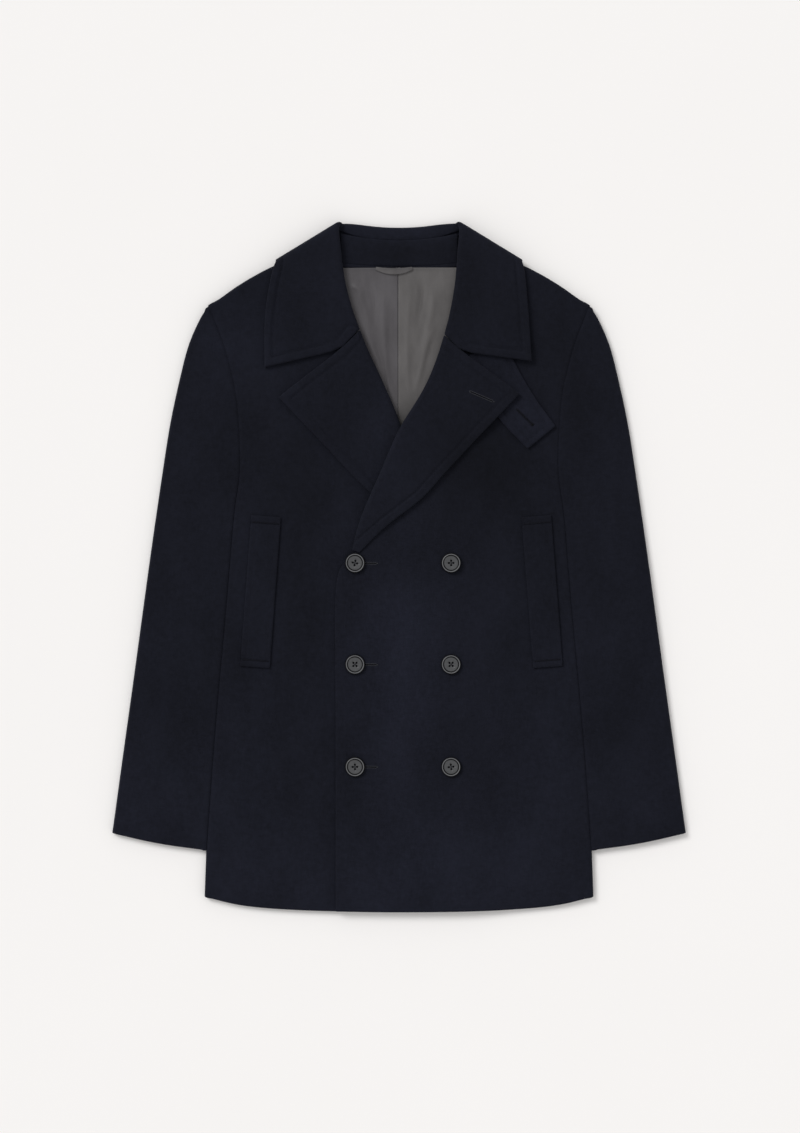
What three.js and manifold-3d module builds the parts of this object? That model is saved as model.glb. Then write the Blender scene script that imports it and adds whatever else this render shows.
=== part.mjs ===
// Double-breasted pea coat laid flat on its back, front up and buttoned.
// Millimetres, +Z up, collar towards +Y. Left and right are the wearer's: left is +X.
// The origin is under the middle of the coat, on the surface that it lies on.
import * as THREE from 'three';
import { mergeVertices } from 'three/addons/utils/BufferGeometryUtils.js';
import Module from 'manifold-3d';

const wasm = await Module();
wasm.setup();

// Cloth and its layers
const backCloth = 2.6;
const frontCloth = 3.6;
const sleeveCloth = 3.2;
const sleeveUnderCloth = 2.6;
const leafCloth = 4.6;
const liningCloth = 1.0;
const tabCloth = 3.0;
const weltCloth = 2.2;
const loopCloth = 1.4;
const loopGap = 0.8;
const seamGap = 0.3;
const layerGap = 0.4;
const leafGap = 0.95;
const frontRest = 5.0;
const sideSeamLevel = 4.0;
const sideSeamGap = 0.5;
const rimWidth = 3.2;
const sleeveCrown = 0.8;

// Distances from a rim at which its cloth gets extra rows or columns
const rimSteps = [0, 1.2, rimWidth, 3.9];

// Rough lengths of the pieces, by which their rows are spaced
const backLength = 730;
const frontLength = 740;
const sleeveLength = 665;
const lapelLength = 300;
const leafLength = 125;
const liningLength = 215;
const standLength = 34;

// Outline of the coat
const hemHalf = 236.5;
const hemCentreY = -420.9;
const hemCornerY = -402;
const hemCurve = [[128, -418.5], [200, -412]];
const underSleeveTop = 275;
const shoulderTip = [231.8, 318.4];
const cuffOuter = [350.1, -324.5];
const cuffInner = [236.9, -345.3];
const cuffBow = 3;
const centreY = 366;
const neckPoint = [92, 386];

// Where sleeve and body part, from hem to shoulder, as distance from the middle
const bodyEdge = [
  { y: hemCornerY, half: hemHalf },
  { y: -339, half: 234.2 },
  { y: -187, half: 223.3 },
  { y: -40, half: 209.8 },
  { y: 71, half: 200.5 },
  { y: 112, half: 194.4 },
  { y: 167, half: 195.2 },
  { y: 216, half: 199.6 },
  { y: 240, half: 205.5 },
  { y: 271, half: 213.5 },
  { y: 300, half: 224.7 },
  { y: shoulderTip[1], half: shoulderTip[0] },
];

// Outer edge of the sleeve, from cuff to shoulder
const sleeveEdge = [
  { y: cuffOuter[1], half: cuffOuter[0] },
  { y: -248, half: 339.8 },
  { y: -126, half: 322.7 },
  { y: -4, half: 306.2 },
  { y: 118, half: 288.5 },
  { y: 179, half: 278.8 },
  { y: 240, half: 265.4 },
  { y: 271, half: 257.4 },
  { y: 304, half: 242.8 },
  { y: 313.5, half: 236.1 },
];

// Shoulder line from the neck point out to the sleeve
const shoulderLine = [
  { half: 125, y: 379 },
  { half: 151, y: 367.5 },
  { half: 164, y: 361.5 },
  { half: 196.4, y: 342.8 },
  { half: 223.9, y: 323.3 },
];

// Collar
const rollCorner = [71.6, 422.6];
const rollDip = 8.5;
const leafTop = [151, 375];
const leafBackY = 348;
const leafBackRise = 0.13;
const leafLift = 5.0;
const liftFade = 110;
const bandWidth = 15.6;
const standHalf = 71;
const foldInset = 3.6;
const turnGap = 0.9;
const turnWidth = 11.2;
const rollInset = 13.2;
const cornerTurn = 9;

// Front edges, pockets, tab, loop and buttons
const frontEdgeX = 77;
const breakY = 17.1;
const pocketY = -30;
const pocketLength = 184;
const pocketWidth = 35.5;
const tabMiddle = [[173.7, 158.2], [139, 201], [106, 268]];
const tabWidths = [43.3, 51, 45];
const loopHalf = 22;
const loopWidth = 7;
const loopEndWidth = 3;
const loopSag = 1.8;
const loopTop = [-6, 365.6];
const buttonRadius = 12.3;
const buttonThickness = 3.8;
const holeRadius = 1.1;
const holeReach = 2.3;
const buttonX = { left: 63.4, right: -53.6 };
const buttonY = [4.9, -118.6, -243.4];

// What differs between the two fronts. Each roll runs from the break up to the collar corner.
const sides = {
  left: {
    way: 1,
    roll: [
      { x: -58.6, y: breakY },
      { x: -47.5, y: 57 },
      { x: -34, y: 90 },
      { x: -21.5, y: 118 },
      { x: -9.5, y: 147 },
      { x: 4.5, y: 176 },
      { x: 19, y: 198 },
      { x: 35.6, y: 228 },
      { x: 54, y: 278.2 },
      { x: 63.4, y: 316 },
      { x: 70.8, y: 368.4 },
    ],
    gorge: [53.5, 283],
    notch: [76.9, 262.3],
    lapelPoint: [146.4, 211.1],
    lapelEdge: [
      { x: -15.9, y: 50 },
      { x: 28.1, y: 84 },
      { x: 52, y: 111 },
      { x: 98, y: 160.5 },
    ],
    collarPoint: [161, 251.3],
    collarBulge: 1,
    pocket: { x: 174.5, tilt: 4.4 },
    lining: 0.15,
  },
  right: {
    way: -1,
    roll: [
      { x: 58.6, y: breakY },
      { x: 50.5, y: 40 },
      { x: 30.5, y: 95.2 },
      { x: -2.4, y: 185.4 },
      { x: -20.7, y: 228.1 },
      { x: -42.7, y: 275.7 },
      { x: -59.8, y: 323.3 },
      { x: -69.8, y: 372.1 },
    ],
    gorge: [-48.5, 289.5],
    notch: [-72, 264.7],
    lapelPoint: [-146.4, 207.4],
    lapelEdge: [
      { x: 14, y: 52 },
      { x: -35.4, y: 91.5 },
      { x: -91, y: 149.5 },
    ],
    collarPoint: [-163.5, 244],
    collarBulge: 5.4,
    pocket: { x: -168.9, tilt: -4.2 },
    lining: -0.15,
  },
};
const liningSeamX = -1.2;

// Colours
const melton = { color: 0x1b1c25, roughness: 0.92, metalness: 0 };
const lining = { color: 0x54514f, roughness: 0.5, metalness: 0 };
const horn = { color: 0x2c2d31, roughness: 0.35, metalness: 0 };

// Small sums
const { clamp } = THREE.MathUtils;
const mix = (from, to, share) => from + (to - from) * share;
const mixPoint = (from, to, share) => from.map((value, axis) => mix(value, to[axis], share));
const add = (point, way, distance) => point.map((value, axis) => value + way[axis] * distance);

function smooth(low, high, value) {
  const share = clamp((value - low) / (high - low), 0, 1);
  return share * share * (3 - 2 * share);
}

function unit(way) {
  const length = Math.hypot(...way);
  return way.map((value) => value / length);
}

// Smooth line through points, measured by its length from 0 to 1
function lineThrough(points) {
  const vectors = points.map(([x, y]) => new THREE.Vector3(x, y, 0));
  const curve = new THREE.CatmullRomCurve3(vectors, false, 'centripetal');
  return (share) => {
    const { x, y } = curve.getPointAt(clamp(share, 0, 1));
    return [x, y];
  };
}

// Straight stretches through corner points, measured by their length from 0 to 1
function bentLine(points) {
  const lengths = points.slice(1).map(([x, y], index) => (
    Math.hypot(x - points[index][0], y - points[index][1])));
  const total = lengths.reduce((sum, length) => sum + length, 0);
  return (share) => {
    let left = clamp(share, 0, 1) * total;
    let index = 0;
    while (index < lengths.length - 1 && left > lengths[index]) {
      left -= lengths[index];
      index += 1;
    }
    return mixPoint(points[index], points[index + 1], left / lengths[index]);
  };
}

// Line moved sideways, to its own right where the distance is positive
function moved(line, distance, from = 0, to = 1) {
  const steps = 12;
  const points = [];
  for (let step = 0; step <= steps; step += 1) {
    const share = mix(from, to, step / steps);
    const [aheadX, aheadY] = line(Math.min(share + 0.01, 1));
    const [behindX, behindY] = line(Math.max(share - 0.01, 0));
    const [wayX, wayY] = unit([aheadX - behindX, aheadY - behindY]);
    points.push(add(line(share), [wayY, -wayX], distance));
  }
  return lineThrough(points);
}

// Surface between four lines: start and end run upwards, bottom and top run across
function patch({ start, end, bottom, top }) {
  return (across, up) => [0, 1].map((axis) => {
    const sideways = mix(start(up)[axis], end(up)[axis], across);
    const upwards = mix(bottom(across)[axis], top(across)[axis], up);
    const low = mix(start(0)[axis], end(0)[axis], across);
    const high = mix(start(1)[axis], end(1)[axis], across);
    return sideways + upwards - mix(low, high, up);
  });
}

// Stations from 0 to 1 with extra ones close to the ends, given as distances
function stations(length, count, nearStart = [], nearEnd = []) {
  const low = nearStart.map((distance) => distance / length);
  const high = nearEnd.map((distance) => 1 - distance / length).reverse();
  const first = low.length ? low[low.length - 1] : 0;
  const last = high.length ? high[0] : 1;
  const middle = [];
  for (let step = low.length ? 1 : 0; step <= count - (high.length ? 1 : 0); step += 1) {
    middle.push(mix(first, last, step / count));
  }
  return [...low, ...middle, ...high];
}

// How far a place is from a straight line between two points
function distanceTo([fromX, fromY], [toX, toY], x, y) {
  const [wayX, wayY] = [toX - fromX, toY - fromY];
  const along = (x - fromX) * wayX + (y - fromY) * wayY;
  const share = clamp(along / (wayX * wayX + wayY * wayY), 0, 1);
  return Math.hypot(x - fromX - wayX * share, y - fromY - wayY * share);
}

// Solids
const group = new THREE.Group();

function closedGeometry(positions, triangles) {
  let volume = 0;
  const corner = new THREE.Vector3();
  const [a, b, c] = [new THREE.Vector3(), new THREE.Vector3(), new THREE.Vector3()];
  for (let index = 0; index < triangles.length; index += 3) {
    a.fromArray(positions, triangles[index] * 3);
    b.fromArray(positions, triangles[index + 1] * 3);
    c.fromArray(positions, triangles[index + 2] * 3);
    volume += a.dot(corner.crossVectors(b, c));
  }
  if (volume < 0) triangles.reverse();
  const geometry = new THREE.BufferGeometry();
  geometry.setAttribute('position', new THREE.Float32BufferAttribute(positions, 3));
  geometry.setIndex(triangles);
  return geometry;
}

function addMesh(name, geometry, finish) {
  const mesh = new THREE.Mesh(geometry, new THREE.MeshStandardMaterial(finish));
  mesh.name = name;
  group.add(mesh);
  return mesh;
}

// Wall from rows of points, each with its outer and inner side
function wall(name, rows, finish) {
  const count = rows[0].length;
  const positions = [];
  for (const row of rows) {
    for (const { outer, inner } of row) positions.push(...outer, ...inner);
  }
  const at = (row, column, side) => 2 * (row * count + column) + side;
  const triangles = [];
  const quad = (a, b, c, d) => triangles.push(a, b, c, a, c, d);
  for (let row = 0; row < rows.length - 1; row += 1) {
    for (let column = 0; column < count - 1; column += 1) {
      quad(at(row, column, 0), at(row, column + 1, 0), at(row + 1, column + 1, 0), at(row + 1, column, 0));
      quad(at(row, column, 1), at(row + 1, column, 1), at(row + 1, column + 1, 1), at(row, column + 1, 1));
    }
    quad(at(row, 0, 0), at(row + 1, 0, 0), at(row + 1, 0, 1), at(row, 0, 1));
    quad(at(row, count - 1, 0), at(row, count - 1, 1), at(row + 1, count - 1, 1), at(row + 1, count - 1, 0));
  }
  const last = rows.length - 1;
  for (let column = 0; column < count - 1; column += 1) {
    quad(at(0, column, 0), at(0, column, 1), at(0, column + 1, 1), at(0, column + 1, 0));
    quad(at(last, column, 0), at(last, column + 1, 0), at(last, column + 1, 1), at(last, column, 1));
  }
  return addMesh(name, closedGeometry(positions, triangles), finish);
}

// Cloth laid over a patch. Rims are the edges turned down or up to the seam level.
function laidCloth(name, finish, {
  place, length, rows, columns, over, under, rims = [], seam, turn, round = 0.8,
}) {
  const grid = rows.map((up) => {
    const [startX, startY] = place(0, up);
    const [endX, endY] = place(1, up);
    const width = Math.hypot(endX - startX, endY - startY);
    return columns(width).map((across) => {
      const [x, y] = place(across, up);
      const away = {
        start: across * width,
        end: (1 - across) * width,
        bottom: up * length,
        top: (1 - up) * length,
      };
      const plainEdges = Object.keys(away).filter((edge) => !rims.includes(edge));
      const rim = Math.min(...rims.map((edge) => away[edge]), Infinity);
      const plain = Math.min(...plainEdges.map((edge) => away[edge]));
      let high = over(x, y, across, up);
      let low = under(x, y, across, up);
      if (rim < rimWidth + 0.1) {
        const bend = 0.25 + 0.75 * Math.sqrt(1 - (1 - clamp(rim / rimWidth, 0, 1)) ** 2);
        const level = seam(x, y, across);
        if (turn === 'down') {
          high = mix(level, high, bend);
          low = level;
        } else {
          low = mix(level, low, bend);
          high = level;
        }
      } else if (plain < 0.1) {
        high -= round;
      }
      return { outer: [x, y, high], inner: [x, y, low] };
    });
  });
  return wall(name, grid, finish);
}

// Heights of the layers
const backFallY = (x) => leafBackY + leafBackRise * Math.abs(x);
const lift = (x, y) => leafLift * (1 - smooth(4, liftFade, backFallY(x) - y));

// Hidden edge of the right front under the left one: its front edge, then its roll
function hiddenEdge(y) {
  const { roll } = sides.right;
  if (y < breakY) return mix(frontEdgeX, roll[0].x, smooth(-30, breakY, y));
  const next = Math.max(1, roll.findIndex((point) => point.y > y));
  const [low, high] = [roll[next - 1], roll[next]];
  return mix(low.x, high.x, (y - low.y) / (high.y - low.y));
}

// A lapel grows out of its front above the break
const lapelRise = (y) => 1.6 + 3.5 * smooth(10, 90, y);

// Share of the right lapel's form that lifts the left front
function overRightLapel(x, y) {
  const { x: edgeX, y: edgeY } = sides.right.lapelEdge[1];
  const [wayX, wayY] = unit([sides.right.roll[0].x - edgeX, breakY - edgeY]);
  const above = (x - edgeX) * -wayY + (y - edgeY) * wayX;
  return (1 - smooth(8, 60, x - hiddenEdge(y))) * smooth(-60, -8, above);
}

// Share of the tab's form that lifts the collar and the lapel point
function overTab(x, y) {
  const away = Math.min(
    distanceTo(tabMiddle[0], tabMiddle[1], x, y),
    distanceTo(tabMiddle[1], tabMiddle[2], x, y),
  );
  return 1 - smooth(7, 50, away - tabWidths[1] / 2);
}

function frontUnder(way, x, y) {
  if (way < 0) return frontRest + lift(x, y);
  const lapOver = 1 - smooth(8, 75, x - hiddenEdge(y));
  const hump = (lapelRise(y + 30) + layerGap) * overRightLapel(x, y);
  return frontRest + lift(x, y) + (frontCloth + layerGap) * lapOver + hump;
}
const frontOver = (way, x, y) => frontUnder(way, x, y) + frontCloth;

// Height of a laid cloth's own upper faces, for what lies on it
const faces = {};
function heightOn(name, x, y) {
  if (!faces[name]) {
    const { position } = group.getObjectByName(name).geometry.attributes;
    const index = group.getObjectByName(name).geometry.index.array;
    faces[name] = [];
    for (let start = 0; start < index.length; start += 3) {
      const [a, b, c] = [0, 1, 2].map((corner) => (
        new THREE.Vector3().fromBufferAttribute(position, index[start + corner])));
      const area = (b.x - a.x) * (c.y - a.y) - (c.x - a.x) * (b.y - a.y);
      if (area > 0.001) faces[name].push({ a, b, c, area });
    }
  }
  let height = -Infinity;
  for (const { a, b, c, area } of faces[name]) {
    const shareB = ((x - a.x) * (c.y - a.y) - (c.x - a.x) * (y - a.y)) / area;
    const shareC = ((b.x - a.x) * (y - a.y) - (x - a.x) * (b.y - a.y)) / area;
    if (shareB >= 0 && shareC >= 0 && shareB + shareC <= 1) {
      height = Math.max(height, a.z + shareB * (b.z - a.z) + shareC * (c.z - a.z));
    }
  }
  return height;
}
const onBack = (x, y) => Math.max(
  lift(x, y) + backCloth,
  heightOn('back_left', x, y),
  heightOn('back_right', x, y),
);
const onFront = (word, x, y) => Math.max(frontOver(sides[word].way, x, y), heightOn(`front_${word}`, x, y));
const tabRise = (way, x, y) => (way > 0 ? (tabCloth + layerGap + 0.6) * overTab(x, y) : 0);
const seamAbove = (x, y) => lift(x, y) + sideSeamLevel + sideSeamGap / 2;
const seamBelow = (x, y) => lift(x, y) + sideSeamLevel - sideSeamGap / 2;

// Lines that neighbours share
const bodySide = (way, gap) => lineThrough(bodyEdge.map(({ y, half }) => [way * (half - gap), y]));
const rollLine = ({ roll, way }) => lineThrough([
  ...roll.map(({ x, y }) => [x, y]),
  [way * rollCorner[0], rollCorner[1]],
]);
const hemSide = (way) => [
  ...hemCurve.map(([x, y]) => [way * x, y]),
  [way * (hemHalf - seamGap / 2), hemCornerY],
];

function shoulder(way, gap, inward) {
  const outer = shoulderLine.map(({ half, y }) => [way * half, y]);
  return lineThrough([...inward, ...outer, [way * (shoulderTip[0] - gap), shoulderTip[1]]]);
}

// Share of a roll line at which it passes a height
function shareAt(line, y) {
  let [low, high] = [0, 1];
  for (let step = 0; step < 30; step += 1) {
    const middle = (low + high) / 2;
    if (line(middle)[1] < y) low = middle;
    else high = middle;
  }
  return low;
}

// Rows at the same heights on body and sleeve
const lowRows = 5;
const highRows = 15;
function seamRows(line, low, high) {
  const heights = [];
  for (let step = 0; step < lowRows; step += 1) heights.push(mix(low, 0, step / lowRows));
  for (let step = 0; step <= highRows; step += 1) heights.push(mix(0, shoulderTip[1] - 8, step / highRows));
  return heights.filter((y) => y <= high).map((y) => shareAt(line, y));
}
const bodyRows = (line, length) => [
  0,
  2 / length,
  0.04,
  ...seamRows(line, cuffInner[1], shoulderTip[1]),
  ...rimSteps.map((distance) => 1 - distance / length).reverse(),
];

// More rows where the lapping front turns in to its lapel, as shares of its length
const breakRows = [0.43, 0.478, 0.497, 0.52];

// Back, in two halves
function addBack(word, way) {
  const half = (seamGap / 2) * way;
  const place = patch({
    start: lineThrough([[half, hemCentreY], [half, centreY]]),
    end: bodySide(way, seamGap / 2),
    bottom: lineThrough([[half, hemCentreY], ...hemSide(way)]),
    top: shoulder(way, seamGap / 2, [
      [half, centreY],
      [way * 55, centreY + 2],
      [way * 72, 370.5],
      [way * neckPoint[0], neckPoint[1]],
    ]),
  });
  laidCloth(`back_${word}`, melton, {
    place,
    length: backLength,
    rows: bodyRows(bodySide(way, seamGap / 2), backLength),
    columns: (width) => stations(width, 7, [], rimSteps),
    over: (x, y) => lift(x, y) + backCloth,
    under: (x, y) => lift(x, y),
    rims: ['end', 'top'],
    seam: seamBelow,
    turn: 'up',
    round: 0.4,
  });
}

// Fronts, each with its edge along the middle, then along the roll
function addFront(word, side) {
  const { way } = side;
  const roll = rollLine(side);
  const inset = moved(roll, way * rollInset, shareAt(roll, breakY + 24), shareAt(roll, 368));
  const rollPoints = Array.from({ length: 15 }, (_, step) => inset(step / 14));
  const edge = -way * frontEdgeX;
  const start = lineThrough([
    [edge, hemCentreY + 0.9],
    [edge, -150],
    [edge, -28],
    [edge + way * 5, breakY - 17],
    [edge + way * 15, breakY - 5],
    [edge + way * 30, breakY - 0.5],
    [edge + way * 38, breakY + 9],
    ...rollPoints,
    [way * neckPoint[0], neckPoint[1]],
  ]);
  const place = patch({
    start,
    end: bodySide(way, seamGap / 2),
    bottom: lineThrough([[edge, hemCentreY + 0.9], [0, hemCentreY], ...hemSide(way)]),
    top: shoulder(way, seamGap / 2, [[way * neckPoint[0], neckPoint[1]]]),
  });
  laidCloth(`front_${word}`, melton, {
    place,
    length: frontLength,
    rows: [
      ...bodyRows(bodySide(way, seamGap / 2), frontLength),
      ...(way > 0 ? breakRows : []),
    ].sort((low, high) => low - high),
    columns: (width) => stations(width, 11, [0, 1.4], rimSteps),
    over: (x, y) => frontOver(way, x, y),
    under: (x, y) => frontUnder(way, x, y),
    rims: ['end', 'top'],
    seam: seamAbove,
    turn: 'down',
  });
}

// Sleeves: the top piece wraps the outer edge and the under piece lies inside it
function sleeveSeam(way, topY) {
  const seamLine = bodyEdge.filter(({ y }) => y > cuffInner[1] + 20 && y < topY);
  return lineThrough([
    [way * (cuffInner[0] - 2 + seamGap / 2), cuffInner[1]],
    ...seamLine.map(({ y, half }) => [way * (half + seamGap / 2), y]),
    ...(topY > shoulderTip[1] ? [[way * (shoulderTip[0] + seamGap / 2), shoulderTip[1] - 2]] : []),
  ]);
}

function sleevePatch(way, inset, topY) {
  const edgeLine = sleeveEdge.filter(({ y }) => y < topY);
  const start = sleeveSeam(way, topY);
  const end = lineThrough(edgeLine.map(({ y, half }) => [way * (half - inset), y]));
  const [midX, midY] = mixPoint(start(0), end(0), 0.5);
  return patch({
    start,
    end,
    bottom: lineThrough([start(0), [midX, midY - cuffBow], end(0)]),
    top: bentLine([start(1), end(1)]),
  });
}

function addSleeve(word, way) {
  const topY = shoulderTip[1] + 1;
  const rowsBelow = (lineTop, high) => seamRows(sleeveSeam(way, lineTop), cuffInner[1], high).slice(1);
  const crown = (across) => sleeveCrown * Math.sin(Math.PI * across);
  const near = (width) => rimSteps.map((distance) => distance * Math.min(1, width / 12));
  laidCloth(`sleeve_top_${word}`, melton, {
    place: sleevePatch(way, 0, topY),
    length: sleeveLength,
    rows: [0, 1.6 / sleeveLength, ...rowsBelow(topY, shoulderTip[1]), 1],
    columns: (width) => stations(width, 3, near(width), near(width)),
    over: (x, y, across) => frontRest + frontCloth + crown(across) + lift(x, y),
    under: (x, y, across) => frontRest + frontCloth - sleeveCloth + crown(across) + lift(x, y),
    rims: ['start', 'end'],
    seam: (x, y, across) => (across > 0.5 ? 0 : sideSeamLevel + sideSeamGap / 2),
    turn: 'down',
  });
  laidCloth(`sleeve_under_${word}`, melton, {
    place: sleevePatch(way, rimWidth + 0.1 + seamGap + 0.6, underSleeveTop),
    length: sleeveLength,
    rows: [0, 1.6 / sleeveLength, ...rowsBelow(underSleeveTop, underSleeveTop - 4)],
    columns: (width) => stations(width, 2, rimSteps, []),
    over: () => sleeveUnderCloth,
    under: () => 0,
    rims: ['start'],
    seam: () => sideSeamLevel - sideSeamGap / 2,
    turn: 'up',
    round: 0.3,
  });
}

// One section of a leaf that lies over, rolls and turns back under itself.
// Outer points run from the free edge to the roll; up is the way that the outer side faces.
function rolledSection({ points, up, thick, gap, turned, width, way }) {
  const last = points[points.length - 1];
  const before = points[points.length - 2];
  const ahead = way || unit(last.map((value, axis) => value - before[axis]));
  const lean = ahead.reduce((sum, part, index) => sum + part * up[index], 0);
  const side = unit(ahead.map((value, axis) => value - up[axis] * lean));
  const radius = (thick + gap + turned) / 2;
  const section = points.slice(0, -1).map((outer) => ({ outer, inner: add(outer, up, -thick) }));
  const turn = (distance, depth) => add(add(last, side, distance), up, -depth);
  for (let step = 0; step <= 4; step += 1) {
    const angle = (Math.PI * step) / 4;
    section.push({
      outer: turn(radius * (Math.sin(angle) - 1), radius * (1 - Math.cos(angle))),
      inner: turn(0.3 * Math.sin(angle) - radius, thick + (gap * (1 - Math.cos(angle))) / 2),
    });
  }
  section.push({ outer: turn(-width, thick + gap + turned), inner: turn(-width, thick + gap) });
  return section;
}

// Shares across a leaf, close together at its free edge and stopping short of the roll
function leafShares(width, count, short) {
  const first = 1.5 / width;
  const shares = [0, first];
  for (let step = 1; step <= count; step += 1) shares.push(mix(first, 1 - short / width, step / count));
  return [...shares, 1];
}

// Lapels
function addLapel(word, side) {
  const { way } = side;
  const roll = rollLine(side);
  const low = shareAt(roll, breakY + 4);
  const high = shareAt(roll, side.gorge[1] - 1.4);
  const start = lineThrough([
    add(roll(low), [way, -0.35], 9),
    ...side.lapelEdge.map(({ x, y }) => [x, y]),
    [side.lapelPoint[0] - way * 1.5, side.lapelPoint[1] - 1.5],
  ]);
  const end = (share) => roll(mix(low, high, share));
  const place = patch({
    start,
    end,
    bottom: bentLine([start(0), end(0)]),
    top: bentLine([start(1), side.lapelPoint, [side.notch[0], side.notch[1] - seamGap], end(1)]),
  });
  const rows = stations(lapelLength, 17, [0, 1.6], [0, 1.6]).map((upward) => {
    const [fromX, fromY] = place(0, upward);
    const [toX, toY] = place(1, upward);
    const width = Math.hypot(toX - fromX, toY - fromY);
    const rise = lapelRise(toY);
    const thick = rise - leafGap;
    const short = Math.min(5, width / 3);
    const points = leafShares(width, 6, short).map((across, column) => {
      const [x, y] = place(across, upward);
      const edge = column === 0 || upward === 0 || upward === 1 ? Math.min(0.8, thick / 3) : 0;
      return [x, y, onFront(word, x, y) + rise + tabRise(way, x, y) - edge];
    });
    return rolledSection({
      points,
      up: [0, 0, 1],
      thick: thick - (upward === 0 || upward === 1 ? 0.2 : 0),
      gap: leafGap,
      turned: frontCloth,
      width: Math.min(turnWidth, 4.6 + (toY - breakY) * 0.3),
      way: [...unit([toX - fromX, toY - fromY]), 0],
    });
  });
  wall(`lapel_${word}`, rows, melton);
}

// Top edge of the coat behind the neck
const neckCurve = (x) => rollCorner[1] - rollDip * (1 - (x / rollCorner[0]) ** 2);

// Collar: one leaf from front to front. It folds over both shoulders and lies under the back,
// and its roll turns back inside as the band above the stand.
function collarSide(side) {
  const { way } = side;
  const word = way > 0 ? 'left' : 'right';
  const mirror = ([x, y]) => [way * x, y];
  const corner = mirror(rollCorner);
  const leafEnd = mirror(leafTop);
  const outward = [...unit(mirror([rollCorner[1] - leafTop[1], leafTop[0] - rollCorner[0]])), 0];
  const roll = rollLine(side);
  const low = shareAt(roll, side.gorge[1] + 0.8);
  const end = (share) => roll(mix(low, 1, share));
  const middle = add(mixPoint(side.collarPoint, leafEnd, 0.5), [way, 0], side.collarBulge);
  const start = lineThrough([side.collarPoint, middle, leafEnd]);
  const place = patch({
    start,
    end,
    bottom: bentLine([start(0), add(side.notch, [0, 1], seamGap), end(0)]),
    top: bentLine([leafEnd, corner]),
  });
  const stack = leafCloth + turnGap + frontCloth;
  const sharesOver = (width) => leafShares(width, 6, 5.6);
  const shares = sharesOver(Math.hypot(leafTop[0] - rollCorner[0], leafTop[1] - rollCorner[1]));
  const sections = [];
  const foldTop = (across) => {
    const [x, y] = place(across, 1);
    return onFront(word, x - outward[0] * 9, y - outward[1] * 9) + turnGap + leafCloth;
  };
  const foldHigh = Math.max(...shares.map(foldTop)) + seamGap;
  const foldRadius = foldHigh / 2;
  const frontRows = stations(leafLength, 6, [0, 1.5], [foldRadius]);
  for (const upward of frontRows) {
    const points = shares.map((across, column) => {
      const [x, y] = place(across, upward);
      const base = onFront(word, x, y) + turnGap + leafCloth + tabRise(way, x, y);
      const edge = column === 0 || upward === 0 ? 0.8 : 0;
      const inset = mix(1, foldInset / foldRadius, across);
      const shifted = add([x, y], outward.slice(0, 2), upward > 0.9 ? foldRadius * (1 - inset) : 0);
      return [...shifted, mix(base, foldHigh, smooth(0.5, 0.93, upward)) - edge];
    });
    const [toX, toY] = points[points.length - 1];
    const [fromX, fromY] = points[points.length - 3];
    sections.push(rolledSection({
      points, up: [0, 0, 1], thick: leafCloth, gap: turnGap, turned: frontCloth, width: turnWidth,
      way: [...unit([toX - fromX, toY - fromY]), 0],
    }));
  }
  const along = [...unit([corner[0] - leafEnd[0], corner[1] - leafEnd[1]]), 0];
  for (const turnShare of [0.25, 0.5, 0.75, 1]) {
    const angle = Math.PI * turnShare;
    const points = shares.map((across) => {
      const inset = mix(foldRadius, foldInset, across);
      const edge = mixPoint(leafEnd, corner, across);
      const [x, y] = add(edge, outward.slice(0, 2), inset * (Math.sin(angle) - 1));
      return [x, y, foldRadius * (1 + Math.cos(angle))];
    });
    sections.push(rolledSection({
      points, up: [outward[0] * Math.sin(angle), outward[1] * Math.sin(angle), Math.cos(angle)],
      thick: leafCloth, gap: turnGap, turned: frontCloth - 0.4, width: cornerTurn,
      way: unit(mixPoint(along, [-way * 0.5, 0.87, 0], turnShare)),
    }));
  }
  const foldEnd = add(leafEnd, outward.slice(0, 2), -foldRadius);
  for (const share of [0.22, 0.5, 0.75, 1]) {
    const leaf = mixPoint(foldEnd, [0, leafBackY], share);
    const rollX = mix(corner[0] - way * 4, 0, share);
    const rollY = neckCurve(rollX);
    const backShares = sharesOver(Math.hypot(leaf[0] - rollX, leaf[1] - rollY));
    const points = backShares.map((across) => [...mixPoint(leaf, [rollX, rollY], across), 0]);
    sections.push(rolledSection({
      points, up: [0, 0, -1], thick: leafCloth, gap: turnGap, turned: frontCloth - 0.4,
      width: bandWidth, way: [0, 1, 0],
    }));
  }
  return sections;
}

function addCollar() {
  const left = collarSide(sides.left);
  const right = collarSide(sides.right).reverse().slice(1);
  wall('collar', [...left, ...right], melton);
}

// Stand inside the back of the neck
function addStand() {
  const bottomAt = (x) => centreY + 1.2 + 3.5 * (x / 72) ** 2;
  const low = leafCloth + turnGap;
  laidCloth('collar_stand', melton, {
    place: (across, up) => {
      const x = mix(-standHalf, standHalf, across);
      return [x, mix(bottomAt(x), neckCurve(x) - bandWidth - seamGap, up)];
    },
    length: standLength,
    rows: stations(standLength, 2),
    columns: (width) => stations(width, 10),
    over: () => low + frontCloth - 0.4,
    under: () => low,
    round: 0.4,
  });
}

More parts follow.
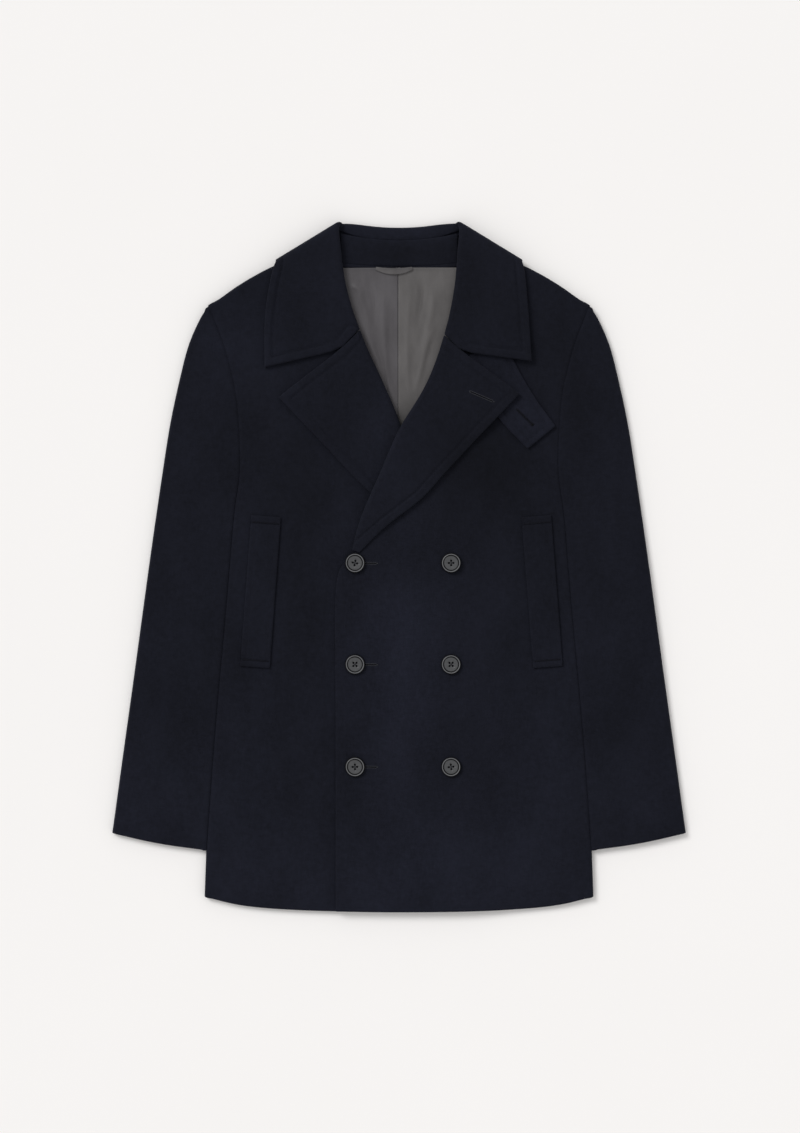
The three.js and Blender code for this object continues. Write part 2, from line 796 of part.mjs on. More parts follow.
// Back lining, in two halves, as far as it shows in the neck and just under the fronts
function addLining(word, side) {
  const { way } = side;
  const roll = rollLine(side);
  const start = lineThrough([[liningSeamX + side.lining, 150], [liningSeamX + side.lining, centreY - 0.8]]);
  const hidden = moved(roll, way * 9, shareAt(roll, 190), shareAt(roll, centreY));
  const end = lineThrough([[way * 18, 150], ...[0, 0.3, 0.6, 1].map((share) => hidden(share))]);
  const place = patch({
    start,
    end,
    bottom: bentLine([start(0), end(0)]),
    top: bentLine([start(1), end(1)]),
  });
  laidCloth(`lining_${word}`, lining, {
    place,
    length: liningLength,
    rows: stations(liningLength, 14),
    columns: (width) => stations(width, 5),
    over: (x, y) => onBack(x, y) + layerGap + liningCloth,
    under: (x, y) => onBack(x, y) + layerGap,
    round: 0.3,
  });
}

// Strip along a line, lying on what is beneath it
function addStrip(name, finish, { line, widthAt, thick, rest, count, across = 1 }) {
  const rows = [];
  for (let step = 0; step <= count; step += 1) {
    const share = step / count;
    const [x, y] = line(share);
    const [aheadX, aheadY] = line(Math.min(1, share + 0.01));
    const [behindX, behindY] = line(Math.max(0, share - 0.01));
    const [wayX, wayY] = unit([aheadX - behindX, aheadY - behindY]);
    const row = [];
    for (let column = 0; column <= across; column += 1) {
      const [placeX, placeY] = add([x, y], [-wayY, wayX], widthAt(share) * (column / across - 0.5));
      const low = rest(placeX, placeY);
      row.push({ outer: [placeX, placeY, low + thick], inner: [placeX, placeY, low] });
    }
    rows.push(row);
  }
  wall(name, rows, finish);
}

function addPocket(word, side) {
  const tilt = THREE.MathUtils.degToRad(side.pocket.tilt);
  const upward = [-Math.sin(tilt), Math.cos(tilt)];
  const middle = [side.pocket.x, pocketY];
  addStrip(`pocket_welt_${word}`, melton, {
    line: bentLine([add(middle, upward, pocketLength / 2), add(middle, upward, -pocketLength / 2)]),
    widthAt: () => pocketWidth,
    thick: weltCloth,
    rest: (x, y) => onFront(word, x, y) + layerGap,
    count: 8,
    across: 3,
  });
}

function addTab() {
  const [endWidth, middleWidth, topWidth] = tabWidths;
  addStrip('throat_tab', melton, {
    line: lineThrough(tabMiddle),
    widthAt: (share) => (share < 0.42
      ? mix(endWidth, middleWidth, share / 0.42)
      : mix(middleWidth, topWidth, (share - 0.42) / 0.58)),
    thick: tabCloth,
    rest: (x, y) => onFront('left', x, y) + layerGap,
    count: 8,
    across: 3,
  });
}

function addLoop() {
  const [middleX, topY] = loopTop;
  const widthOf = (place) => mix(loopWidth, loopEndWidth, place ** 2);
  const line = lineThrough([-1, -0.7, -0.35, 0, 0.35, 0.7, 1].map((place) => [
    middleX + place * loopHalf,
    topY - widthOf(place) / 2 - loopSag * (1 - place ** 2),
  ]));
  addStrip('hanger_loop', lining, {
    line,
    widthAt: (share) => widthOf(2 * share - 1),
    thick: loopCloth,
    rest: (x, y) => loopGap + Math.max(
      heightOn('lining_left', x, y),
      heightOn('lining_right', x, y),
      lift(x, y) + backCloth + layerGap + liningCloth,
    ),
    count: 12,
  });
}

// Four-hole buttons with a raised rim
function solidFrom(geometry) {
  geometry.deleteAttribute('normal');
  geometry.deleteAttribute('uv');
  const merged = mergeVertices(geometry, 1e-4);
  const corners = Array.from(merged.index.array);
  const triVerts = [];
  for (let index = 0; index < corners.length; index += 3) {
    const [a, b, c] = corners.slice(index, index + 3);
    if (a !== b && b !== c && c !== a) triVerts.push(a, b, c);
  }
  const vertProperties = new Float32Array(merged.attributes.position.array);
  const mesh = new wasm.Mesh({ numProp: 3, vertProperties, triVerts: new Uint32Array(triVerts) });
  return new wasm.Manifold(mesh);
}

function buttonSolid() {
  const profile = [
    { radius: 0, height: 0 },
    { radius: 0.85, height: 0 },
    { radius: 1, height: 0.35 },
    { radius: 0.98, height: 0.8 },
    { radius: 0.88, height: 1 },
    { radius: 0.76, height: 0.92 },
    { radius: 0.7, height: 0.7 },
    { radius: 0, height: 0.66 },
  ];
  const points = profile.map(({ radius, height }) => (
    new THREE.Vector2(radius * buttonRadius, height * buttonThickness)));
  let solid = solidFrom(new THREE.LatheGeometry(points, 18).rotateX(Math.PI / 2));
  for (const [x, y] of [[1, 1], [1, -1], [-1, -1], [-1, 1]]) {
    const hole = new THREE.CylinderGeometry(holeRadius, holeRadius, buttonThickness * 3, 6);
    hole.rotateX(Math.PI / 2).translate(x * holeReach, y * holeReach, 0);
    solid = solid.subtract(solidFrom(hole));
  }
  return solid;
}

function addButtons() {
  const { vertProperties, triVerts } = buttonSolid().getMesh();
  for (const [word, x] of Object.entries(buttonX)) {
    buttonY.forEach((y, index) => {
      const geometry = closedGeometry(Array.from(vertProperties), Array.from(triVerts));
      const button = addMesh(`button_${word}_${index + 1}`, geometry, horn);
      const around = [0, 1, 2, 3, 4, 5, 6, 7].map((step) => (Math.PI * step) / 4);
      const rim = around.map((angle) => add([x, y], [Math.cos(angle), Math.sin(angle)], buttonRadius));
      const rest = Math.max(...[[x, y], ...rim].map((point) => onFront('left', ...point)));
      button.position.set(x, y, rest + seamGap);
    });
  }
}

addBack('left', 1);
addBack('right', -1);
addFront('left', sides.left);
addFront('right', sides.right);
addSleeve('left', 1);
addSleeve('right', -1);
addLapel('left', sides.left);
addLapel('right', sides.right);
addCollar();
addStand();
addLining('left', sides.left);
addLining('right', sides.right);
addLoop();
addPocket('left', sides.left);
addPocket('right', sides.right);
addTab();
addButtons();

export default group;
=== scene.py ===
import math

import bmesh
import bpy
import numpy as np
from bpy.props import FloatProperty, FloatVectorProperty, IntProperty, PointerProperty
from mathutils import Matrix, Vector
from mathutils.bvhtree import BVHTree


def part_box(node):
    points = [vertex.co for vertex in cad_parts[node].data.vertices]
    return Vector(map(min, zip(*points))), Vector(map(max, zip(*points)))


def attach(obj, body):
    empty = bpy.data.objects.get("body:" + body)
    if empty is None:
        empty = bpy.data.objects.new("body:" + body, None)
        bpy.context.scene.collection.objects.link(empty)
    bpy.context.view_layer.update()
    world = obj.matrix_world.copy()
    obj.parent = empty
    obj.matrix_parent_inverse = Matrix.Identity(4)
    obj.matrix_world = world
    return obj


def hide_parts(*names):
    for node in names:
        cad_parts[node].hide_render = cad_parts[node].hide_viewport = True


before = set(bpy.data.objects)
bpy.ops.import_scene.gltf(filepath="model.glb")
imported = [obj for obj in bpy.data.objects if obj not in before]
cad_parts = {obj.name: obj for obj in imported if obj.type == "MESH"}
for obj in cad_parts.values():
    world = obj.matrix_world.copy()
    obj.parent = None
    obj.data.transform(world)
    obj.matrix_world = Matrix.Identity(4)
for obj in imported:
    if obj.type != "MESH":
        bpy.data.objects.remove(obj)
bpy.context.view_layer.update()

bl_info = {
    "name": "Pea Coat",
    "version": (1, 0, 0),
    "blender": (4, 5, 0),
    "location": "3D View > Sidebar > Coat",
    "description": "Dresses a flat-laid pea coat in melton, lining, stitching and horn buttons",
    "category": "Object",
}

MM = 0.001

# Outlines in millimetres, with +Y towards the collar and +X towards the wearer's left
COLLAR_EDGE = {
    "left": [(60, 279), (76.9, 262.6), (161, 251.3), (157, 313), (151, 375)],
    "right": [
        (-57, 284), (-72, 265), (-163.5, 244), (-165.2, 277), (-162.6, 309.5), (-157.8, 343), (-151, 375),
    ],
}
LAPEL_EDGE = {
    "left": [
        (60, 276), (76.9, 262), (146.4, 211.1), (98, 160.5), (52, 111),
        (28.1, 84), (-15.9, 50), (-46, 24),
    ],
    "right": [(-56, 280), (-72, 264.4), (-146.4, 207.4), (-91, 149.5), (-35.4, 91.5), (14, 52)],
}
TAB_EDGE = [(85.8, 258.1), (117.3, 187.6), (156.9, 144.6), (190.5, 171.8), (160.7, 214.4), (126.2, 277.9)]
POCKETS = {
    "left": {"x": 174.5, "tilt": 4.4},
    "right": {"x": -168.9, "tilt": -4.2},
}
POCKET_Y = -30
POCKET_SIZE = (35.5, 184)
CUFF = [(236.9, -345.3), (293.5, -337.9), (350.1, -324.5)]
WELT_INSET = 5.5
WELT_END = 8.0
TAB_INSET = 7.5
CUFF_INSET = 8

# Height of a raised edge and depth of the stitched groove beside it
COLLAR_RELIEF = (0.6, 1.35)
LAPEL_RELIEF = (0.55, 1.15)
TAB_RELIEF = (0.5, 0.95)
WELT_SIDE_RELIEF = (0.1, 0.22)
WELT_END_RELIEF = (0.2, 1.0)
CUFF_GROOVE = 0.5
GROOVE_WIDTH = 1.5

# Buttons: turns in degrees, places and sizes in millimetres
BUTTON_X = {"left": 63.4, "right": -53.6}
BUTTON_Y = (4.9, -118.6, -243.4)
BUTTON_RADIUS = 12.3
BUTTON_THICK = 3.8
BUTTON_GAP = 0.1
BUTTON_TURNS = {"right": (33, 0, 46), "left": (45, 2, 52)}
HOLE_PLACE = 1.85
HOLE_RADIUS = 1.3
HOLE_CORNERS = ((1, 1), (1, -1), (-1, -1), (-1, 1))
THREAD_RADIUS = 0.16
THREAD_SPREAD = 0.2
THREAD_RISE = 0.25
SHANK_DEPTH = 1.2

# Profile of a button from the middle of its back to the middle of its dish, as shares of radius and height
BUTTON_PROFILE = [
    (0, 0), (0.88, 0), (0.95, 0.05), (0.99, 0.2), (1, 0.4), (0.985, 0.62), (0.94, 0.84), (0.88, 0.98),
    (0.85, 1.0), (0.825, 0.97), (0.8, 0.86), (0.775, 0.7), (0.75, 0.64), (0.72, 0.66), (0.69, 0.73),
    (0.64, 0.74), (0.5, 0.68), (0.28, 0.64), (0, 0.63),
]
BUTTON_CORNERS = 72

# Buttonholes in millimetres: their ends, their stitches, the half width of the slit, and the eye
BUTTONHOLE_BACK = 4
BUTTONHOLE_REACH = 26.5
LAPEL_BUTTONHOLE = ((86.6, 213.5), (114.7, 201.3))
TAB_BUTTONHOLE = ((143.5, 192), (164, 172))
STITCH_PITCH = 0.55
STITCH_REACH = 0.9
STITCH_RADIUS = 0.27
SLIT_HALF = 0.7
EYE_LENGTH = 4.5
EYE_SWELL = 1.1

# Floor, camera and the tall side of the picture in pixels
FLOOR_LEVEL = -0.0003
FLOOR_REACH = 4.0
PICTURE_HEIGHT = 1133
CAMERA_PLACE = (0.0012, 0.0006)
COAT_MIDDLE = 0.008
KEY_DIRECTION = (1.0, -0.9, -1.15)
KEY_ANGLE = 24

# Corners of the coat's outline and of its pieces that stay sharp
HALF_CORNERS = [(231.8, 318.4), (236.5, -402), (350.1, -324.5), (236.9, -345.3), (1.2, 365), (72, 370)]
SHARP_CORNERS = [(side * x, y) for side in (-1, 1) for x, y in HALF_CORNERS] + [
    COLLAR_EDGE["left"][2], COLLAR_EDGE["right"][2], LAPEL_EDGE["left"][2], LAPEL_EDGE["right"][2],
    (53.5, 283), (-48.5, 289.5), (76.9, 262.3), (-72, 264.7),
]
NECK_CORNERS = [(-71.6, 421), (71.6, 421)]
NECK_REACH = 9
NECK_ROUNDS = 10


def cloth(width, length, fills, levels, on=(), held="laid"):
    """A piece's cut in metres, the share of that rectangle it fills, and how finely it is divided."""
    return {"cut": (width, length), "fills": fills, "levels": levels, "on": on, "held": held}


# The cuts of the sleeves, collar, stand, right lining and tab were corrected by what the built pieces
# measure, which is half the closed surface with its edges, so the measure doesn't prove them.
# The frame takes no sheet under 10 mm. The hanger loop is 7 mm wide at most, yet 10.1 mm is stated for it,
# and its upward face is about 0.8 of the stated area.
CLOTH_PIECES = {
    "back_left": cloth(0.24, 0.81, 0.87, 2),
    "back_right": cloth(0.24, 0.81, 0.87, 2),
    "front_left": cloth(0.316, 0.81, 0.76, 3, ("front_right",)),
    "front_right": cloth(0.316, 0.81, 0.77, 3, ("back_right",)),
    "sleeve_under_left": cloth(0.135, 0.62, 0.675, 2),
    "sleeve_under_right": cloth(0.135, 0.62, 0.675, 2),
    "sleeve_top_left": cloth(0.155, 0.665, 0.625, 3, ("sleeve_under_left",)),
    "sleeve_top_right": cloth(0.155, 0.665, 0.625, 3, ("sleeve_under_right",)),
    "lining_left": cloth(0.09, 0.216, 0.6, 3, ("back_left",)),
    "lining_right": cloth(0.08, 0.216, 0.535, 3, ("back_right",)),
    "collar_stand": cloth(0.142, 0.036, 1.0, 3, ("collar",)),
    "collar": cloth(0.62, 0.118, 0.665, 3, ("front_left", "front_right"), "folded"),
    "throat_tab": cloth(0.051, 0.132, 0.93, 3, ("front_left",)),
    "lapel_left": cloth(0.205, 0.27, 0.42, 3, ("front_left",), "folded"),
    "lapel_right": cloth(0.205, 0.27, 0.42, 3, ("front_right",), "folded"),
    "pocket_welt_left": cloth(0.036, 0.184, 1.0, 3, ("front_left",)),
    "pocket_welt_right": cloth(0.036, 0.184, 1.0, 3, ("front_right",)),
    "hanger_loop": cloth(0.0101, 0.046, 0.69, 3, ("lining_left",)),
}

# Pieces that keep their outline exactly
STRAIGHT_PIECES = ("pocket", "throat", "hanger", "lining", "collar_stand")

# How far edges move out, so that sewn neighbours meet: anywhere, at the armhole and below it
SEAM_CLOSING = 0.28
ARMHOLE_CLOSING = 1.25
SIDE_CLOSING = 0.7
GORGE_CLOSING = 0.5

# Where sleeve and body meet, as heights and distances from the middle
SIDE_HEIGHTS = [-402, -339, -187, -40, 71, 112, 167, 216, 240, 271, 300, 318.4]
SIDE_HALVES = [236.5, 234.2, 223.3, 209.8, 200.5, 194.4, 195.2, 199.6, 205.5, 213.5, 224.7, 231.8]

# Patches where cloth is painted lighter or darker than the rest of it: painted light and shade on the melton,
# painted shade on the lining and loop, and the throat tab lighter around its middle
# Painted shade at the bottom of the lining's V, beside the right collar leaf, and a painted shadow along the
# top of the lining under the stand
LINING_PAINTED_SHADE = [
    {"middle": (3, 176), "reach": (16, 20), "change": -0.42},
    {"middle": (-62, 318), "reach": (14, 46), "change": -0.16},
    {"middle": (-6, 364), "reach": (60, 3.5), "change": -0.25},
]
TAB_PATCHES = [{"middle": (165, 185), "reach": (60, 90), "change": 0.3}]
# Painted light towards the hem, the middle, the lower fronts, the cuffs and the right shoulder; painted shade
# under the lapels and near the collar; a painted highlight along the top of the stand with painted shade
# below it
PAINTED_LIGHT_PATCHES = [
    {"middle": (-8, -130), "reach": (62, 150), "change": 0.5},
    {"middle": (0, -390), "reach": (230, 75), "change": 0.4},
    {"middle": (-178, -270), "reach": (46, 120), "change": 0.15},
    {"middle": (168, -260), "reach": (50, 120), "change": 0.2},
    {"middle": (-295, -300), "reach": (52, 75), "change": 0.28},
    {"middle": (295, -300), "reach": (52, 75), "change": 0.16},
    {"middle": (95, 120), "reach": (85, 62), "change": -0.34},
    {"middle": (-118, 95), "reach": (52, 66), "change": -0.22},
    {"middle": (110, 330), "reach": (80, 60), "change": -0.14},
    {"middle": (205, 215), "reach": (40, 60), "change": -0.12},
    {"middle": (-15, 160), "reach": (34, 62), "change": 0.18},
    {"middle": (-228, 275), "reach": (46, 34), "change": 0.3},
    {"middle": (6, 410), "reach": (60, 12), "change": 0.5},
    {"middle": (0, 382), "reach": (80, 14), "change": -0.2},
]

# Soft troughs and ridges laid in one by one: ends in millimetres, depth below zero for a trough
CREASES = [
    {"start": (262, 205), "end": (292, -10), "depth": -0.7, "width": 11},
    {"start": (284, 60), "end": (318, -215), "depth": 0.6, "width": 15},
    {"start": (246, 52), "end": (300, 4), "depth": -0.8, "width": 9},
    {"start": (240, -20), "end": (276, -48), "depth": -0.5, "width": 7},
    {"start": (-258, 214), "end": (-286, 2), "depth": -0.7, "width": 12},
    {"start": (-290, 70), "end": (-314, -190), "depth": 0.6, "width": 14},
    {"start": (-242, 60), "end": (-292, 20), "depth": -0.8, "width": 9},
    {"start": (-246, -40), "end": (-272, -86), "depth": -0.5, "width": 8},
    {"start": (150, 118), "end": (196, 84), "depth": -0.8, "width": 9},
    {"start": (-150, 126), "end": (-194, 88), "depth": -0.8, "width": 10},
    {"start": (120, -160), "end": (128, -380), "depth": 0.7, "width": 16},
    {"start": (205, -150), "end": (214, -370), "depth": -0.6, "width": 9},
    {"start": (-120, -150), "end": (-132, -372), "depth": 0.6, "width": 18},
    {"start": (-206, -170), "end": (-212, -380), "depth": -0.6, "width": 9},
    {"start": (10, -40), "end": (14, -330), "depth": 0.6, "width": 22},
    {"start": (165, 318), "end": (196, 250), "depth": -0.6, "width": 10},
    {"start": (-170, 322), "end": (-192, 254), "depth": -0.6, "width": 11},
]
LINING_CREASES = [
    {"start": (-54, 350), "end": (-28, 262), "depth": 2.0, "width": 4.5},
    {"start": (-60, 344), "end": (-36, 330), "depth": 1.2, "width": 3.5},
    {"start": (-36, 358), "end": (-30, 296), "depth": -1.2, "width": 4},
    {"start": (-20, 340), "end": (-12, 205), "depth": 1.5, "width": 4},
    {"start": (-44, 300), "end": (-18, 232), "depth": 1.3, "width": 3.2},
    {"start": (-28, 268), "end": (-8, 196), "depth": -1.2, "width": 3},
    {"start": (46, 342), "end": (22, 236), "depth": 1.9, "width": 5},
    {"start": (28, 352), "end": (24, 292), "depth": -1.2, "width": 4.2},
    {"start": (12, 330), "end": (10, 205), "depth": 1.4, "width": 3.6},
    {"start": (44, 296), "end": (18, 214), "depth": 1.3, "width": 3.4},
]


# Points and fields


def toward(start, end):
    start, end = np.array(start, float), np.array(end, float)
    length = float(np.linalg.norm(end - start))
    return (end - start) / length, length


def distance_to_path(points, path):
    """Distance from each point to a line of straight stretches, in the plane."""
    best = np.full(len(points), 1e9)
    for start, end in zip(path[:-1], path[1:]):
        way, length = toward(start, end)
        from_start = points[:, :2] - np.array(start, float)
        along = np.clip(from_start @ way, 0, length)
        nearest = np.array(start, float) + along[:, None] * way
        best = np.minimum(best, np.linalg.norm(points[:, :2] - nearest, axis=1))
    return best


def smooth(low, high, value):
    share = np.clip((value - low) / (high - low), 0, 1)
    return share * share * (3 - 2 * share)


def crease_field(points, creases):
    height = np.zeros(len(points))
    for crease in creases:
        way, length = toward(crease["start"], crease["end"])
        from_start = points[:, :2] - np.array(crease["start"], float)
        along = (from_start @ way) / length
        wander = 0.35 * crease["width"] * np.sin(5.1 * along + crease["start"][0])
        across = from_start @ np.array([-way[1], way[0]]) + wander
        fade = smooth(-0.08, 0.3, along) * (1 - smooth(0.6, 1.08, along))
        height += crease["depth"] * fade * np.exp(-((across / crease["width"]) ** 2))
    return height


def cloth_field(points):
    """Slow rise and fall of laid cloth, the same for every layer so that none cuts its neighbour."""
    x, y = points[:, 0], points[:, 1]
    waves = 0.28 * np.sin(x / 41 + 0.8 * np.sin(y / 97)) * np.cos(y / 63 + 0.4)
    waves += 0.2 * np.sin((x + 0.6 * y) / 33 + 1.3) * np.cos((y - 0.4 * x) / 87)
    lifted = smooth(1.5, 7.5, points[:, 2])
    return lifted * (waves + crease_field(points, CREASES))


def seam_closing(points):
    """How far the edges of body and sleeves move out at each point."""
    from_seam = np.abs(np.abs(points[:, 0]) - np.interp(points[:, 1], SIDE_HEIGHTS, SIDE_HALVES))
    high = smooth(80, 150, points[:, 1])
    extra = ARMHOLE_CLOSING * high + SIDE_CLOSING * (1 - high)
    return SEAM_CLOSING + extra * (1 - smooth(4, 9, from_seam))


def painted_light_field(points, patches):
    value = np.ones(len(points))
    for patch in patches:
        away = (points[:, :2] - patch["middle"]) / patch["reach"]
        value += patch["change"] * np.exp(-(away**2).sum(axis=1))
    return value


def inset_path(path, distance):
    """The path moved to its right by a distance, with mitred corners."""
    moved = []
    for index, point in enumerate(path):
        ways = []
        if index > 0:
            ways.append(toward(path[index - 1], point)[0])
        if index < len(path) - 1:
            ways.append(toward(point, path[index + 1])[0])
        sides = [np.array([way[1], -way[0]]) for way in ways]
        side = sum(sides) / len(sides)
        moved.append(np.array(point, float) + side * distance / float(side @ side))
    return moved


def edge_stitching(points, path, inset, raised, depth):
    """A raised edge with a stitched groove beside it."""
    away = distance_to_path(points, path)
    rim = raised * (1 - smooth(inset - 3, inset, away))
    return rim - depth * np.exp(-(((away - inset) / GROOVE_WIDTH) ** 2))


def rectangle(middle, way, size):
    way = np.array(way)
    side = np.array([way[1], -way[0]])
    half_width, half_length = size[0] / 2, size[1] / 2
    corners = [(-1, -1), (-1, 1), (1, 1), (1, -1)]
    return [np.array(middle) + side * half_width * a + way * half_length * b for a, b in corners]


def pocket_frame(word):
    tilt = math.radians(POCKETS[word]["tilt"])
    middle = (POCKETS[word]["x"], POCKET_Y)
    return rectangle(middle, (-math.sin(tilt), math.cos(tilt)), POCKET_SIZE)


# Meshes


def link(obj):
    bpy.context.scene.collection.objects.link(obj)
    return obj


def mesh_object(name, verts, faces):
    mesh = bpy.data.meshes.new(name)
    mesh.from_pydata([tuple(v) for v in verts], [], faces)
    mesh.validate()
    mesh.polygons.foreach_set("use_smooth", [True] * len(mesh.polygons))
    return link(bpy.data.objects.new(name, mesh))


def coordinates(mesh):
    values = np.empty(len(mesh.vertices) * 3)
    mesh.vertices.foreach_get("co", values)
    return values.reshape(-1, 3) / MM


def set_coordinates(mesh, points):
    mesh.vertices.foreach_set("co", (points * MM).ravel())
    mesh.update()


def fine_copy(node, name, levels, straight=False):
    """A finer, rounded copy of a CAD node's own form. A straight piece keeps its outline exactly."""
    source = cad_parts[node]
    form = bmesh.new()
    form.from_mesh(source.data)
    bmesh.ops.transform(form, matrix=source.matrix_world, verts=form.verts)
    bmesh.ops.remove_doubles(form, verts=form.verts, dist=2e-6)
    bmesh.ops.join_triangles(
        form, faces=form.faces, angle_face_threshold=math.radians(50),
        angle_shape_threshold=math.radians(180),
    )
    mesh = bpy.data.meshes.new(name)
    form.to_mesh(mesh)
    form.free()
    obj = link(bpy.data.objects.new(name, mesh))
    plain = link(bpy.data.objects.new(f"{name}_plain", mesh.copy()))
    for copy, kind in ((obj, "CATMULL_CLARK"), (plain, "SIMPLE")):
        rounding = copy.modifiers.new("Rounding", "SUBSURF")
        rounding.subdivision_type = kind
        rounding.levels = levels
        apply_modifiers(copy)
    rounded, sharp = coordinates(obj.data), coordinates(plain.data)
    bpy.data.objects.remove(plain)
    nearest = np.min([np.hypot(*(sharp[:, :2] - corner).T) for corner in SHARP_CORNERS], axis=0)
    keep = np.ones(len(sharp)) if straight else 1 - smooth(6, 22, nearest)
    rounded[:, :2] += (sharp - rounded)[:, :2] * keep[:, None]
    set_coordinates(obj.data, rounded)
    obj.data.polygons.foreach_set("use_smooth", [True] * len(obj.data.polygons))
    return obj


def apply_modifiers(obj):
    bpy.context.view_layer.update()
    evaluated = obj.evaluated_get(bpy.context.evaluated_depsgraph_get())
    mesh = bpy.data.meshes.new_from_object(evaluated)
    old = obj.data
    obj.modifiers.clear()
    obj.data = mesh
    mesh.name = obj.name
    bpy.data.meshes.remove(old)


def finish_piece(obj, material, nodes=()):
    obj.data.materials.clear()
    obj.data.materials.append(material)
    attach(obj, "root")
    if nodes:
        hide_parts(*nodes)
    return obj


def upper_faces(names):
    """Trees for finding the cloth's height under a point, seen from above."""
    trees = []
    for name in names:
        mesh = bpy.data.objects[name].data
        verts = [v.co.copy() for v in mesh.vertices]
        faces = [tuple(p.vertices) for p in mesh.polygons if p.normal.z > 0.1]
        trees.append(BVHTree.FromPolygons(verts, faces))
    return trees


def height_at(trees, x, y):
    heights = []
    for tree in trees:
        hit = tree.ray_cast(Vector((x * MM, y * MM, 0.1)), Vector((0, 0, -1)))
        if hit[0] is not None:
            heights.append(hit[0].z / MM)
    return max(heights) if heights else None


# Rings of a thread with rounded ends and of a plain rod: share of the length and of the radius
STITCH_RINGS = ((0, 0.45), (0.12, 0.9), (0.5, 1), (0.88, 0.9), (1, 0.45))
PLAIN_RINGS = ((0, 1), (1, 1))


def add_rod(verts, faces, start, end, radius, sides=6, rings=STITCH_RINGS):
    """A short rounded thread between two points in millimetres."""
    start, end = np.array(start, float), np.array(end, float)
    way = end - start
    length = np.linalg.norm(way)
    way = way / length
    side = np.cross(way, (0, 0, 1.0))
    if np.linalg.norm(side) < 1e-6:
        side = np.array((1.0, 0, 0))
    side = side / np.linalg.norm(side)
    up = np.cross(side, way)
    first = len(verts)
    for share, size in rings:
        for corner in range(sides):
            angle = 2 * math.pi * corner / sides
            offset = (side * math.cos(angle) + up * math.sin(angle)) * radius * size
            verts.append((start + way * length * share + offset) * MM)
    for ring in range(len(rings) - 1):
        for corner in range(sides):
            a = first + ring * sides + corner
            b = first + ring * sides + (corner + 1) % sides
            faces.append((a, b, b + sides, a + sides))
    faces.append(tuple(first + corner for corner in reversed(range(sides))))
    faces.append(tuple(first + (len(rings) - 1) * sides + corner for corner in range(sides)))


def along_path(path, pitch):
    """Places at an even pitch along a line of straight stretches, with its direction there."""
    places = []
    left = 0.0
    for start, end in zip(path[:-1], path[1:]):
        way, length = toward(start, end)
        spot = left
        while spot <= length:
            places.append((np.array(start, float) + way * spot, way))
            spot += pitch
        left = spot - length
    return places


def stitch_line(name, path, trees, material, pitch=3.4, length=2.5, radius=0.24, sink=0.12):
    """A row of lock stitches that lies on the cloth."""
    verts, faces = [], []
    for place, way in along_path(path, pitch):
        ends = [place, place + way * length]
        heights = [height_at(trees, *end) for end in ends]
        if None in heights or abs(heights[0] - heights[1]) > 1.2:
            continue
        start, end = [(*point, height - sink) for point, height in zip(ends, heights)]
        add_rod(verts, faces, start, end, radius)
    if not faces:
        raise RuntimeError(f"no stitch of {name} lies on cloth")
    return finish_piece(mesh_object(name, verts, faces), material)


def buttonhole(name, start, end, trees, material, eye=False):
    """A worked buttonhole: close-set stitches down both sides of its slit and a bar at its end."""
    verts, faces = [], []
    way, length = toward(start, end)
    side = np.array([way[1], -way[0]])
    for step in range(int(length / STITCH_PITCH)):
        middle = np.array(start, float) + way * step * STITCH_PITCH
        spread = SLIT_HALF
        if eye and length - step * STITCH_PITCH < EYE_LENGTH:
            spread += EYE_SWELL * math.sin(math.pi * (length - step * STITCH_PITCH) / EYE_LENGTH)
        for sign in (-1, 1):
            inner = middle + side * sign * spread
            outer = middle + side * sign * (spread + STITCH_REACH)
            height = height_at(trees, *inner)
            if height is not None:
                add_rod(verts, faces, (*inner, height + 0.1), (*outer, height - 0.05), STITCH_RADIUS)
    for place in ((start,) if eye else (start, end)):
        for count in range(3):
            shift = count * STITCH_PITCH * (1 if place is end else -1)
            middle = np.array(place, float) + way * shift
            height = height_at(trees, *middle)
            if height is not None:
                ends = [(*(middle + side * STITCH_REACH * sign), height + 0.12) for sign in (-1, 1)]
                add_rod(verts, faces, *ends, STITCH_RADIUS)
    cut_slit(f"{name}_slit", start, end, trees, eye)
    return finish_piece(mesh_object(name, verts, faces), material)


def cut_slit(name, start, end, trees, eye):
    """Painted shade in the opening between the two sides of a buttonhole: a dark rod along it and, for an
    eye, a dark plug in the eye.
    """
    verts, faces = [], []
    way, length = toward(start, end)
    stretches = 8
    places = [np.array(start, float) + way * length * step / stretches for step in range(stretches + 1)]
    heights = [height_at(trees, *place) for place in places]
    for first in range(stretches):
        if heights[first] is not None and heights[first + 1] is not None:
            ends = [(*places[at], heights[at] - 0.22) for at in (first, first + 1)]
            add_rod(verts, faces, *ends, 0.5, 8, PLAIN_RINGS)
    if eye:
        middle = np.array(end, float) - way * 2.2
        level = height_at(trees, *middle)
        add_rod(verts, faces, (*middle, level - 0.6), (*middle, level + 0.06), 1.5, 16, PLAIN_RINGS)
    finish_piece(mesh_object(name, verts, faces), MATERIALS["slit"])


# Materials


def new_group(name, inputs, outputs):
    group = bpy.data.node_groups.new(name, "ShaderNodeTree")
    for label, kind, value in inputs:
        socket = group.interface.new_socket(label, in_out="INPUT", socket_type=kind)
        socket.default_value = value
    for label, kind in outputs:
        group.interface.new_socket(label, in_out="OUTPUT", socket_type=kind)
    return group, group.nodes.new("NodeGroupInput"), group.nodes.new("NodeGroupOutput")


def noise(tree, coordinates, scale, detail=4.0, roughness=0.55, distortion=0.0):
    node = tree.nodes.new("ShaderNodeTexNoise")
    node.inputs["Scale"].default_value = scale
    node.inputs["Detail"].default_value = detail
    node.inputs["Roughness"].default_value = roughness
    node.inputs["Distortion"].default_value = distortion
    tree.links.new(coordinates, node.inputs["Vector"])
    return node.outputs["Fac"]


